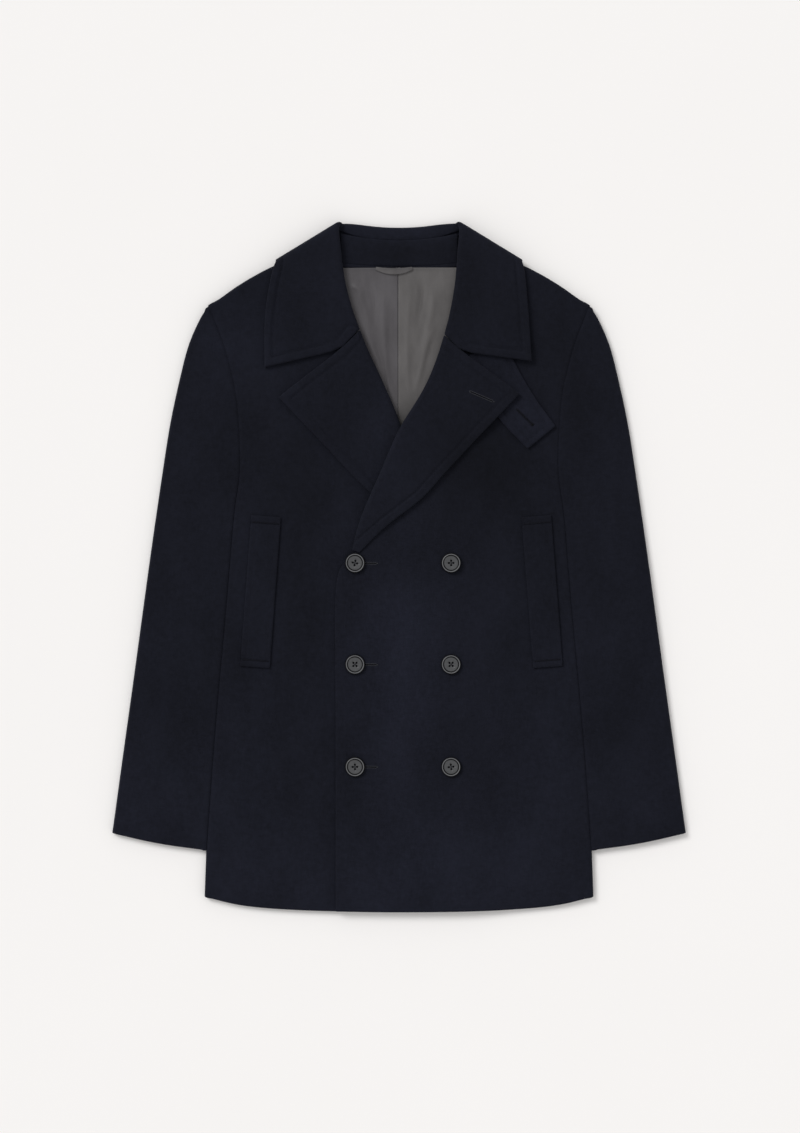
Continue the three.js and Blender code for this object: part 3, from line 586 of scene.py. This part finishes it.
def ramp(tree, factor, stops):
    node = tree.nodes.new("ShaderNodeValToRGB")
    elements = node.color_ramp.elements
    while len(elements) < len(stops):
        elements.new(0.5)
    for element, (place, color) in zip(elements, stops):
        element.position = place
        element.color = (*color, 1)
    tree.links.new(factor, node.inputs["Fac"])
    return node.outputs["Color"]


def math_node(tree, operation, first, second):
    node = tree.nodes.new("ShaderNodeMath")
    node.operation = operation
    for socket, value in zip(node.inputs, (first, second)):
        if isinstance(value, (int, float)):
            socket.default_value = value
        else:
            tree.links.new(value, socket)
    return node.outputs[0]


def blend(tree, first, first_share, second, second_share):
    first_part = math_node(tree, "MULTIPLY", first, first_share)
    return math_node(tree, "ADD", first_part, math_node(tree, "MULTIPLY", second, second_share))


def stretched(tree, coordinates, scale, turn=0.0):
    node = tree.nodes.new("ShaderNodeMapping")
    node.inputs["Scale"].default_value = scale
    node.inputs["Rotation"].default_value = (0, 0, turn)
    tree.links.new(coordinates, node.inputs["Vector"])
    return node.outputs["Vector"]


def nap_group():
    """Felted wool: short fibres that lie downwards, small clumps and slow mottling."""
    group, given, out = new_group(
        "Felted nap",
        [
            ("Fibre", "NodeSocketFloat", 520.0),
            ("Clump", "NodeSocketFloat", 150.0),
            ("Mottle", "NodeSocketFloat", 13.0),
        ],
        [("Tone", "NodeSocketFloat"), ("Height", "NodeSocketFloat")],
    )
    place = group.nodes.new("ShaderNodeTexCoord").outputs["Object"]
    layers = []
    for label, scale, turn in (
        ("Fibre", (1.0, 0.28, 1.0), 0.25),
        ("Fibre", (0.3, 1.0, 1.0), 0.9),
        ("Clump", (1, 1, 1), 0),
        ("Mottle", (1, 0.6, 1), 0.1),
    ):
        node = group.nodes.new("ShaderNodeTexNoise")
        node.inputs["Detail"].default_value = 4.0
        node.inputs["Roughness"].default_value = 0.6
        group.links.new(stretched(group, place, scale, turn), node.inputs["Vector"])
        group.links.new(given.outputs[label], node.inputs["Scale"])
        layers.append(node.outputs["Fac"])
    fibres = math_node(group, "MULTIPLY", math_node(group, "ADD", layers[0], layers[1]), 0.5)
    clumped = blend(group, fibres, 0.65, layers[2], 0.35)
    tone = blend(group, clumped, 0.6, layers[3], 0.4)
    group.links.new(tone, out.inputs["Tone"])
    group.links.new(clumped, out.inputs["Height"])
    return group


def new_material(name):
    material = bpy.data.materials.new(name)
    material.use_nodes = True
    return material, material.node_tree, material.node_tree.nodes["Principled BSDF"]


def add_bump(tree, shader, height, strength, distance):
    bump = tree.nodes.new("ShaderNodeBump")
    bump.inputs["Strength"].default_value = strength
    bump.inputs["Distance"].default_value = distance
    tree.links.new(height, bump.inputs["Height"])
    tree.links.new(bump.outputs["Normal"], shader.inputs["Normal"])


def shade_by_patch(tree, color, shader):
    """Base colour scaled by the piece's patches of painted light and shade."""
    patches = tree.nodes.new("ShaderNodeAttribute")
    patches.attribute_name = "nap_and_painted_light"
    scaled = tree.nodes.new("ShaderNodeVectorMath")
    scaled.operation = "SCALE"
    tree.links.new(color, scaled.inputs[0])
    tree.links.new(patches.outputs["Fac"], scaled.inputs["Scale"])
    tree.links.new(scaled.outputs["Vector"], shader.inputs["Base Color"])


def melton_material(name, nap_and_painted_light, dark, light):
    material, tree, shader = new_material(name)
    fibres = tree.nodes.new("ShaderNodeGroup")
    fibres.node_tree = nap_and_painted_light
    shade_by_patch(tree, ramp(tree, fibres.outputs["Tone"], [(0.36, dark), (0.64, light)]), shader)
    shader.inputs["Roughness"].default_value = 0.93
    shader.inputs["Specular IOR Level"].default_value = 0.12
    shader.inputs["Sheen Weight"].default_value = 0.045
    shader.inputs["Sheen Roughness"].default_value = 0.55
    shader.inputs["Sheen Tint"].default_value = (0.35, 0.38, 0.55, 1)
    add_bump(tree, shader, fibres.outputs["Height"], 0.55, 0.0006)
    return material


def lining_material(name, dark, light):
    """Satin twill lining: fine slanted ribs and soft mottling."""
    material, tree, shader = new_material(name)
    place = tree.nodes.new("ShaderNodeTexCoord").outputs["Object"]
    ribs = tree.nodes.new("ShaderNodeTexWave")
    ribs.inputs["Scale"].default_value = 420.0
    ribs.inputs["Distortion"].default_value = 0.6
    tree.links.new(stretched(tree, place, (1, 1, 1), math.radians(63)), ribs.inputs["Vector"])
    mottle = noise(tree, stretched(tree, place, (1, 0.35, 1)), 55, 5)
    tone = blend(tree, ribs.outputs["Fac"], 0.25, mottle, 0.75)
    shade_by_patch(tree, ramp(tree, tone, [(0.3, dark), (0.75, light)]), shader)
    shader.inputs["Roughness"].default_value = 0.52
    shader.inputs["Specular IOR Level"].default_value = 0.32
    shader.inputs["Sheen Weight"].default_value = 0.08
    add_bump(tree, shader, tone, 0.25, 0.0003)
    return material


def button_material():
    """Horn with faint streaks: grey in the dish, a painted highlight on the rim's crest, and painted shade in
    the groove inside the crest and on the slope outside it.
    """
    material, tree, shader = new_material("Dark horn")
    place = tree.nodes.new("ShaderNodeTexCoord").outputs["Object"]
    streaks = noise(tree, stretched(tree, place, (1, 4, 1), 0.7), 120, 3, 0.5, 1.5)
    reach = tree.nodes.new("ShaderNodeAttribute")
    reach.attribute_name = "reach"
    # Painted light: pale is a painted highlight on the rim's crest, dark is painted shade in the groove and
    # on the outer slope
    grey, pale, dark = (0.074, 0.076, 0.079), (0.145, 0.148, 0.154), (0.003, 0.003, 0.004)
    dish_and_painted_light = ramp(tree, reach.outputs["Fac"], [
        (0.0, grey), (0.67, grey), (0.69, dark), (0.795, dark), (0.815, pale), (0.875, pale), (0.9, dark),
    ])
    streaked = tree.nodes.new("ShaderNodeMix")
    streaked.data_type = "RGBA"
    streaked.blend_type = "MULTIPLY"
    streaked.inputs["Factor"].default_value = 0.5
    tree.links.new(dish_and_painted_light, streaked.inputs["A"])
    tree.links.new(ramp(tree, streaks, [(0.3, (0.6, 0.6, 0.62)), (0.75, (1, 1, 1))]), streaked.inputs["B"])
    tree.links.new(streaked.outputs["Result"], shader.inputs["Base Color"])
    grain = noise(tree, place, 900, 2)
    roughness = math_node(tree, "ADD", math_node(tree, "MULTIPLY", grain, 0.16), 0.3)
    tree.links.new(roughness, shader.inputs["Roughness"])
    shader.inputs["Specular IOR Level"].default_value = 0.2
    add_bump(tree, shader, grain, 0.08, 0.0002)
    return material


def thread_material(name, color):
    """Twisted thread: fine turns along its length."""
    material, tree, shader = new_material(name)
    place = tree.nodes.new("ShaderNodeTexCoord").outputs["Object"]
    twist = noise(tree, place, 1800, 2)
    darker = tuple(part * 0.6 for part in color)
    tree.links.new(ramp(tree, twist, [(0.3, darker), (0.7, color)]), shader.inputs["Base Color"])
    shader.inputs["Roughness"].default_value = 0.85
    shader.inputs["Specular IOR Level"].default_value = 0.12
    add_bump(tree, shader, twist, 0.4, 0.0002)
    return material


MATERIALS = {}


def make_materials(sizes):
    nap_and_painted_light = nap_group()
    dark, light = tuple(sizes.melton_dark), tuple(sizes.melton_light)
    MATERIALS["melton"] = melton_material("Navy melton", nap_and_painted_light, dark, light)
    # The right lining is a darker copy of the same satin: painted shade
    MATERIALS["lining_right"] = lining_material("Grey satin, painted shade", (0.05, 0.046, 0.05), (0.088, 0.083, 0.09))
    left_tones = ((0.066, 0.062, 0.062), (0.112, 0.106, 0.106))
    MATERIALS["lining_left"] = lining_material("Grey satin left", *left_tones)
    MATERIALS["loop"] = lining_material("Loop satin", (0.06, 0.056, 0.058), (0.11, 0.104, 0.106))
    MATERIALS["horn"] = button_material()
    MATERIALS["thread"] = thread_material("Navy thread", (0.0085, 0.009, 0.0145))
    # A near-black material that stands in for the shade inside the buttonhole openings
    MATERIALS["slit"] = thread_material("Slit shade", (0.0022, 0.0022, 0.0028))
    MATERIALS["hole_thread"] = thread_material("Buttonhole thread", (0.042, 0.044, 0.053))


# Cloth pieces


def soften_corners(mesh, corners, reach, times):
    """Round off the cloth around the given corners."""
    form = bmesh.new()
    form.from_mesh(mesh)
    near = [
        vert for vert in form.verts
        if any(math.hypot(vert.co.x / MM - x, vert.co.y / MM - y) < reach for x, y in corners)
    ]
    for _ in range(times):
        bmesh.ops.smooth_vert(form, verts=near, factor=0.5, use_axis_x=True, use_axis_y=True, use_axis_z=True)
    form.to_mesh(mesh)
    form.free()


def piece_relief(name, points, sizes):
    """Edges, stitched grooves and creases that belong to one piece."""
    side = "left" if name.endswith("left") else "right"
    if name == "collar":
        top = smooth(7, 10, points[:, 2])
        inset = sizes.edge_inset / MM
        return top * sum(edge_stitching(points, path, inset, *COLLAR_RELIEF) for path in COLLAR_EDGE.values())
    if name.startswith("lapel"):
        return edge_stitching(points, LAPEL_EDGE[side], sizes.edge_inset / MM, *LAPEL_RELIEF)
    if name == "throat_tab":
        return edge_stitching(points, TAB_EDGE, TAB_INSET, *TAB_RELIEF)
    if name.startswith("pocket_welt"):
        low_left, high_left, high_right, low_right = pocket_frame(side)
        long_sides = [(low_left, high_left), (low_right, high_right)]
        short_sides = [(low_left, low_right), (high_left, high_right)]
        relief = sum(edge_stitching(points, ends, WELT_INSET, *WELT_SIDE_RELIEF) for ends in long_sides)
        return relief + sum(edge_stitching(points, ends, WELT_END, *WELT_END_RELIEF) for ends in short_sides)
    if name.startswith("lining"):
        return crease_field(points, LINING_CREASES)
    if name.startswith("sleeve_top"):
        way = 1 if side == "left" else -1
        hem = [(way * x, y) for x, y in CUFF]
        return -CUFF_GROOVE * np.exp(-(((distance_to_path(points, hem) - CUFF_INSET) / 1.6) ** 2))
    return np.zeros(len(points))


def dress_piece(name, sizes):
    facts = CLOTH_PIECES[name]
    piece = fine_copy(name, f"{name}_cloth", facts["levels"], name.startswith(STRAIGHT_PIECES))
    mesh = piece.data
    if name == "collar":
        soften_corners(mesh, NECK_CORNERS, NECK_REACH, NECK_ROUNDS)
    points = coordinates(mesh)
    normals = np.empty(len(mesh.vertices) * 3)
    mesh.vertex_normals.foreach_get("vector", normals)
    normals = normals.reshape(-1, 3)
    upward = smooth(0.2, 0.7, normals[:, 2])
    if name.startswith(("front", "back", "sleeve")):
        points[:, :2] += normals[:, :2] * seam_closing(points)[:, None]
    elif not name.startswith("lining"):
        closing = GORGE_CLOSING if name.startswith(("lapel", "collar")) else SEAM_CLOSING
        points[:, :2] += normals[:, :2] * closing
    lift = cloth_field(points)
    points[:, 2] += lift + upward * piece_relief(name, points, sizes)
    set_coordinates(mesh, points)
    # The cloth gets painted light and shade, the lining and loop painted shade, and the throat tab a lighter
    # middle, as a point attribute
    patches = TAB_PATCHES if name == "throat_tab" else PAINTED_LIGHT_PATCHES
    if name.startswith(("lining", "hanger")):
        patches = LINING_PAINTED_SHADE
    mesh.attributes.new("nap_and_painted_light", "FLOAT", "POINT").data.foreach_set("value", painted_light_field(points, patches))
    slot = "lining" if name.startswith(("lining", "hanger")) else "melton"
    material = MATERIALS.get(name) or MATERIALS["loop" if name == "hanger_loop" else slot]
    finish_piece(piece, material, [name])
    return piece


def button_form(name):
    """The form of a button before its four holes are cut: a raised rim, a groove inside it and a dished
    middle.
    """
    turns = BUTTON_CORNERS
    verts, faces = [(0, 0, BUTTON_PROFILE[0][1] * BUTTON_THICK * MM)], []
    for share, height in BUTTON_PROFILE[1:-1]:
        for turn in range(turns):
            angle = 2 * math.pi * turn / turns
            radius = share * BUTTON_RADIUS
            across, along = radius * math.cos(angle), radius * math.sin(angle)
            verts.append((across * MM, along * MM, height * BUTTON_THICK * MM))
    verts.append((0, 0, BUTTON_PROFILE[-1][1] * BUTTON_THICK * MM))
    rings = len(BUTTON_PROFILE) - 2
    inmost = 1 + (rings - 1) * turns
    for turn in range(turns):
        following = (turn + 1) % turns
        faces.append((0, 1 + following, 1 + turn))
        for ring in range(rings - 1):
            a, b = 1 + ring * turns + turn, 1 + ring * turns + following
            faces.append((a, b, b + turns, a + turns))
        faces.append((inmost + turn, inmost + following, len(verts) - 1))
    return mesh_object(name, verts, faces)


def cut_holes(button):
    for x, y in HOLE_CORNERS:
        place = (x * HOLE_PLACE * MM, y * HOLE_PLACE * MM, 0)
        bpy.ops.mesh.primitive_cylinder_add(vertices=24, radius=HOLE_RADIUS * MM, depth=0.02, location=place)
        cutter = bpy.context.object
        cut = button.modifiers.new("Hole", "BOOLEAN")
        cut.operation = "DIFFERENCE"
        cut.object = cutter
        apply_modifiers(button)
        bpy.data.objects.remove(cutter)


def dress_buttons():
    master = button_form("button_master")
    cut_holes(master)
    shape = coordinates(master.data)
    reach_of = master.data.attributes.new("reach", "FLOAT", "POINT")
    reach_of.data.foreach_set("value", np.hypot(shape[:, 0], shape[:, 1]) / BUTTON_RADIUS)
    for word, x in BUTTON_X.items():
        for index, y in enumerate(BUTTON_Y):
            node = f"button_{word}_{index + 1}"
            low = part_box(node)[0][2] / MM
            button = link(bpy.data.objects.new(f"{node}_horn", master.data.copy()))
            turn = math.radians(BUTTON_TURNS[word][index])
            spun = shape.copy()
            spun[:, 0] = shape[:, 0] * math.cos(turn) - shape[:, 1] * math.sin(turn) + x
            spun[:, 1] = shape[:, 0] * math.sin(turn) + shape[:, 1] * math.cos(turn) + y
            spun[:, 2] += low + BUTTON_GAP
            set_coordinates(button.data, spun)
            finish_piece(button, MATERIALS["horn"], [node])
            sew_button(node, x, y, low + BUTTON_GAP, turn)
    bpy.data.objects.remove(master)


def sew_button(node, x, y, low, turn):
    """Thread crossed over the four holes, and its shank down to the cloth."""
    verts, faces = [], []
    top = low + BUTTON_PROFILE[-1][1] * BUTTON_THICK
    for first, second in (((-1, -1), (1, 1)), ((-1, 1), (1, -1))):
        for shift in (-THREAD_SPREAD, THREAD_SPREAD):
            ends = []
            for spot in (first, second):
                side = shift if first[1] == -1 else -shift
                a, b = spot[0] * HOLE_PLACE + side, spot[1] * HOLE_PLACE - shift
                across = a * math.cos(turn) - b * math.sin(turn)
                along = a * math.sin(turn) + b * math.cos(turn)
                ends.append((x + across, y + along))
            middle = ((ends[0][0] + ends[1][0]) / 2, (ends[0][1] + ends[1][1]) / 2)
            for end in ends:
                add_rod(verts, faces, (*end, top - THREAD_RISE), (*middle, top + THREAD_RISE), THREAD_RADIUS)
                add_rod(verts, faces, (*end, top - 0.1), (*end, low - SHANK_DEPTH), THREAD_RADIUS)
    finish_piece(mesh_object(f"{node}_thread", verts, faces), MATERIALS["thread"])


def sew_edges(sizes):
    inset = sizes.edge_inset / MM
    for word in ("left", "right"):
        sign = 1 if word == "left" else -1
        collar = inset_path(COLLAR_EDGE[word], -sign * inset)
        stitch_line(f"collar_{word}_stitches", collar, upper_faces(["collar_cloth"]), MATERIALS["thread"])
        lapel = inset_path(LAPEL_EDGE[word], sign * inset)
        cloth_below = upper_faces([f"lapel_{word}_cloth"])
        stitch_line(f"lapel_{word}_stitches", lapel, cloth_below, MATERIALS["thread"])
        trees = upper_faces([f"front_{word}_cloth", f"pocket_welt_{word}_cloth"])
        outline = inset_path(pocket_frame(word), WELT_INSET)
        welt = upper_faces([f"pocket_welt_{word}_cloth"])
        stitch_line(f"pocket_{word}_stitches", outline, welt, MATERIALS["thread"])
        for end in (-1, 1):
            bar_tack(f"pocket_{word}_tack_{'top' if end > 0 else 'low'}", word, end, trees)
        hem = [(sign * x, y + CUFF_INSET) for x, y in CUFF]
        sleeve = upper_faces([f"sleeve_top_{word}_cloth"])
        stitch_line(f"cuff_{word}_stitches", hem, sleeve, MATERIALS["thread"])
    outline = inset_path(TAB_EDGE, -TAB_INSET)
    stitch_line("tab_stitches", outline, upper_faces(["throat_tab_cloth"]), MATERIALS["thread"])


def bar_tack(name, word, end, trees):
    """Close stitches that hold the end of a welt down."""
    tilt = math.radians(POCKETS[word]["tilt"])
    way = np.array([-math.sin(tilt), math.cos(tilt)])
    side = np.array([way[1], -way[0]])
    middle = np.array([POCKETS[word]["x"], POCKET_Y]) + way * end * (POCKET_SIZE[1] / 2 - WELT_END)
    verts, faces = [], []
    for step in range(-22, 23):
        base = middle + side * step * 0.72
        ends = [base - way * 1.1, base + way * 1.1]
        heights = [height_at(trees, *point) for point in ends]
        if None not in heights:
            level = max(heights)
            add_rod(verts, faces, *[(*point, level + 0.05) for point in ends], 0.3)
    finish_piece(mesh_object(name, verts, faces), MATERIALS["thread"])


def work_buttonholes():
    over = upper_faces(["front_left_cloth"])
    for index, y in enumerate(BUTTON_Y):
        start = (BUTTON_X["right"] - BUTTONHOLE_BACK, y)
        end = (BUTTON_X["right"] + BUTTONHOLE_REACH, y - 0.5)
        buttonhole(f"buttonhole_{index + 1}", start, end, over, MATERIALS["hole_thread"])
    lapel = upper_faces(["lapel_left_cloth"])
    buttonhole("lapel_buttonhole", *LAPEL_BUTTONHOLE, lapel, MATERIALS["hole_thread"])
    tab = upper_faces(["throat_tab_cloth"])
    buttonhole("tab_buttonhole", *TAB_BUTTONHOLE, tab, MATERIALS["thread"], eye=True)


# Stage


def make_stage(sizes):
    scene = bpy.context.scene
    reach = FLOOR_REACH
    corners = [(-reach, -reach), (reach, -reach), (reach, reach), (-reach, reach)]
    floor = mesh_object("floor", [(*corner, FLOOR_LEVEL) for corner in corners], [(0, 1, 2, 3)])
    material, tree, shader = new_material("Pale paper")
    place = tree.nodes.new("ShaderNodeTexCoord").outputs["Object"]
    tone = noise(tree, place, 3.0, 2)
    pale = ramp(tree, tone, [(0.2, (0.9, 0.885, 0.875)), (0.8, (0.91, 0.895, 0.885))])
    tree.links.new(pale, shader.inputs["Base Color"])
    shader.inputs["Roughness"].default_value = 0.9
    shader.inputs["Specular IOR Level"].default_value = 0.1
    floor.data.materials.append(material)
    world = bpy.data.worlds.new("Studio")
    world.use_nodes = True
    world.node_tree.nodes["Background"].inputs["Color"].default_value = (1, 0.995, 0.99, 1)
    world.node_tree.nodes["Background"].inputs["Strength"].default_value = sizes.room_light
    scene.world = world
    key = bpy.data.lights.new("key", "SUN")
    key.energy = sizes.key_light
    key.angle = math.radians(KEY_ANGLE)
    obj = link(bpy.data.objects.new("key", key))
    obj.rotation_euler = Vector(KEY_DIRECTION).to_track_quat("-Z", "Y").to_euler()
    scene.view_settings.view_transform = "Standard"
    scene.view_settings.look = "None"
    camera = bpy.data.cameras.new("camera")
    camera.lens = 85
    camera.sensor_width = 36
    frame_height = PICTURE_HEIGHT * sizes.photo_pixel
    distance = frame_height * camera.lens / camera.sensor_width
    obj = link(bpy.data.objects.new("camera", camera))
    obj.location = (*CAMERA_PLACE, distance + COAT_MIDDLE)
    camera.clip_end = 50
    scene.camera = obj


# Add-on


class CoatSizes(bpy.types.PropertyGroup):
    """Sizes and colours that a user would change."""

    edge_inset: FloatProperty(
        name="Edge stitching", description="From the edge of collar and lapels to their stitching",
        default=0.0102, min=0.004, max=0.02, subtype="DISTANCE", unit="LENGTH",
    )
    photo_pixel: FloatProperty(
        name="Picture pixel", description="Real size of one pixel of the 800 by 1133 picture",
        default=0.00122, min=0.0005, max=0.003, subtype="DISTANCE", unit="LENGTH", precision=5,
    )
    key_light: FloatProperty(
        name="Key light", description="Strength of the soft light from the upper left", default=1.58, min=0,
    )
    room_light: FloatProperty(
        name="Room light", description="Strength of the even light all round", default=0.695, min=0,
    )
    melton_dark: FloatVectorProperty(
        name="Melton, dark", description="Darkest tone of the wool", subtype="COLOR",
        default=(0.0031, 0.0035, 0.0063), min=0, max=1,
    )
    melton_light: FloatVectorProperty(
        name="Melton, light", description="Lightest tone of the wool", subtype="COLOR",
        default=(0.008, 0.0089, 0.0155), min=0, max=1,
    )


def dress_pieces(context, names):
    for name in names:
        dress_piece(name, context.scene.coat_sizes)
    return {"FINISHED"}


class COAT_OT_back(bpy.types.Operator):
    """Dress both halves of the back"""

    bl_idname = "coat.back"
    bl_label = "Back"

    def execute(self, context):
        return dress_pieces(context, ("back_left", "back_right"))


class COAT_OT_fronts(bpy.types.Operator):
    """Dress both fronts"""

    bl_idname = "coat.fronts"
    bl_label = "Fronts"

    def execute(self, context):
        return dress_pieces(context, ("front_right", "front_left"))


class COAT_OT_sleeves(bpy.types.Operator):
    """Dress the top and under pieces of both sleeves"""

    bl_idname = "coat.sleeves"
    bl_label = "Sleeves"

    def execute(self, context):
        under = ("sleeve_under_left", "sleeve_under_right")
        return dress_pieces(context, (*under, "sleeve_top_left", "sleeve_top_right"))


class COAT_OT_lapels(bpy.types.Operator):
    """Dress both lapels"""

    bl_idname = "coat.lapels"
    bl_label = "Lapels"

    def execute(self, context):
        return dress_pieces(context, ("lapel_right", "lapel_left"))


class COAT_OT_collar(bpy.types.Operator):
    """Dress the collar and its stand"""

    bl_idname = "coat.collar"
    bl_label = "Collar"

    def execute(self, context):
        return dress_pieces(context, ("collar_stand", "collar"))


class COAT_OT_lining(bpy.types.Operator):
    """Dress the lining that shows, and the hanger loop"""

    bl_idname = "coat.lining"
    bl_label = "Lining"

    def execute(self, context):
        return dress_pieces(context, ("lining_left", "lining_right", "hanger_loop"))


class COAT_OT_welts(bpy.types.Operator):
    """Dress the pocket welts and the throat tab"""

    bl_idname = "coat.welts"
    bl_label = "Welts and tab"

    def execute(self, context):
        return dress_pieces(context, ("pocket_welt_left", "pocket_welt_right", "throat_tab"))


class COAT_OT_stage(bpy.types.Operator):
    """Set up the pale floor, the soft lights and the camera above the coat"""

    bl_idname = "coat.stage"
    bl_label = "Stage"

    def execute(self, context):
        make_stage(context.scene.coat_sizes)
        make_materials(context.scene.coat_sizes)
        return {"FINISHED"}


class COAT_OT_buttons(bpy.types.Operator):
    """Make the six horn buttons and sew them on"""

    bl_idname = "coat.buttons"
    bl_label = "Buttons"

    def execute(self, context):
        dress_buttons()
        return {"FINISHED"}


class COAT_OT_stitching(bpy.types.Operator):
    """Sew the edge stitching, bar tacks and buttonholes"""

    bl_idname = "coat.stitching"
    bl_label = "Stitching"

    def execute(self, context):
        sew_edges(context.scene.coat_sizes)
        work_buttonholes()
        return {"FINISHED"}


OPERATORS = [
    COAT_OT_stage,
    COAT_OT_back,
    COAT_OT_fronts,
    COAT_OT_sleeves,
    COAT_OT_lapels,
    COAT_OT_collar,
    COAT_OT_lining,
    COAT_OT_welts,
    COAT_OT_buttons,
    COAT_OT_stitching,
]


class COAT_PT_panel(bpy.types.Panel):
    """Lists the coat's steps in order"""

    bl_idname = "COAT_PT_panel"
    bl_label = "Pea coat"
    bl_space_type = "VIEW_3D"
    bl_region_type = "UI"
    bl_category = "Coat"

    def draw(self, context):
        for label in CoatSizes.__annotations__:
            self.layout.prop(context.scene.coat_sizes, label)
        for operator in OPERATORS:
            self.layout.operator(operator.bl_idname)


CLASSES = [CoatSizes, *OPERATORS, COAT_PT_panel]


def register():
    for item in CLASSES:
        bpy.utils.register_class(item)
    bpy.types.Scene.coat_sizes = PointerProperty(type=CoatSizes)


def unregister():
    del bpy.types.Scene.coat_sizes
    for item in reversed(CLASSES):
        bpy.utils.unregister_class(item)


def main():
    register()
    for operator in OPERATORS:
        getattr(bpy.ops.coat, operator.bl_idname.split(".")[1])()


if __name__ == "__main__":
    main()
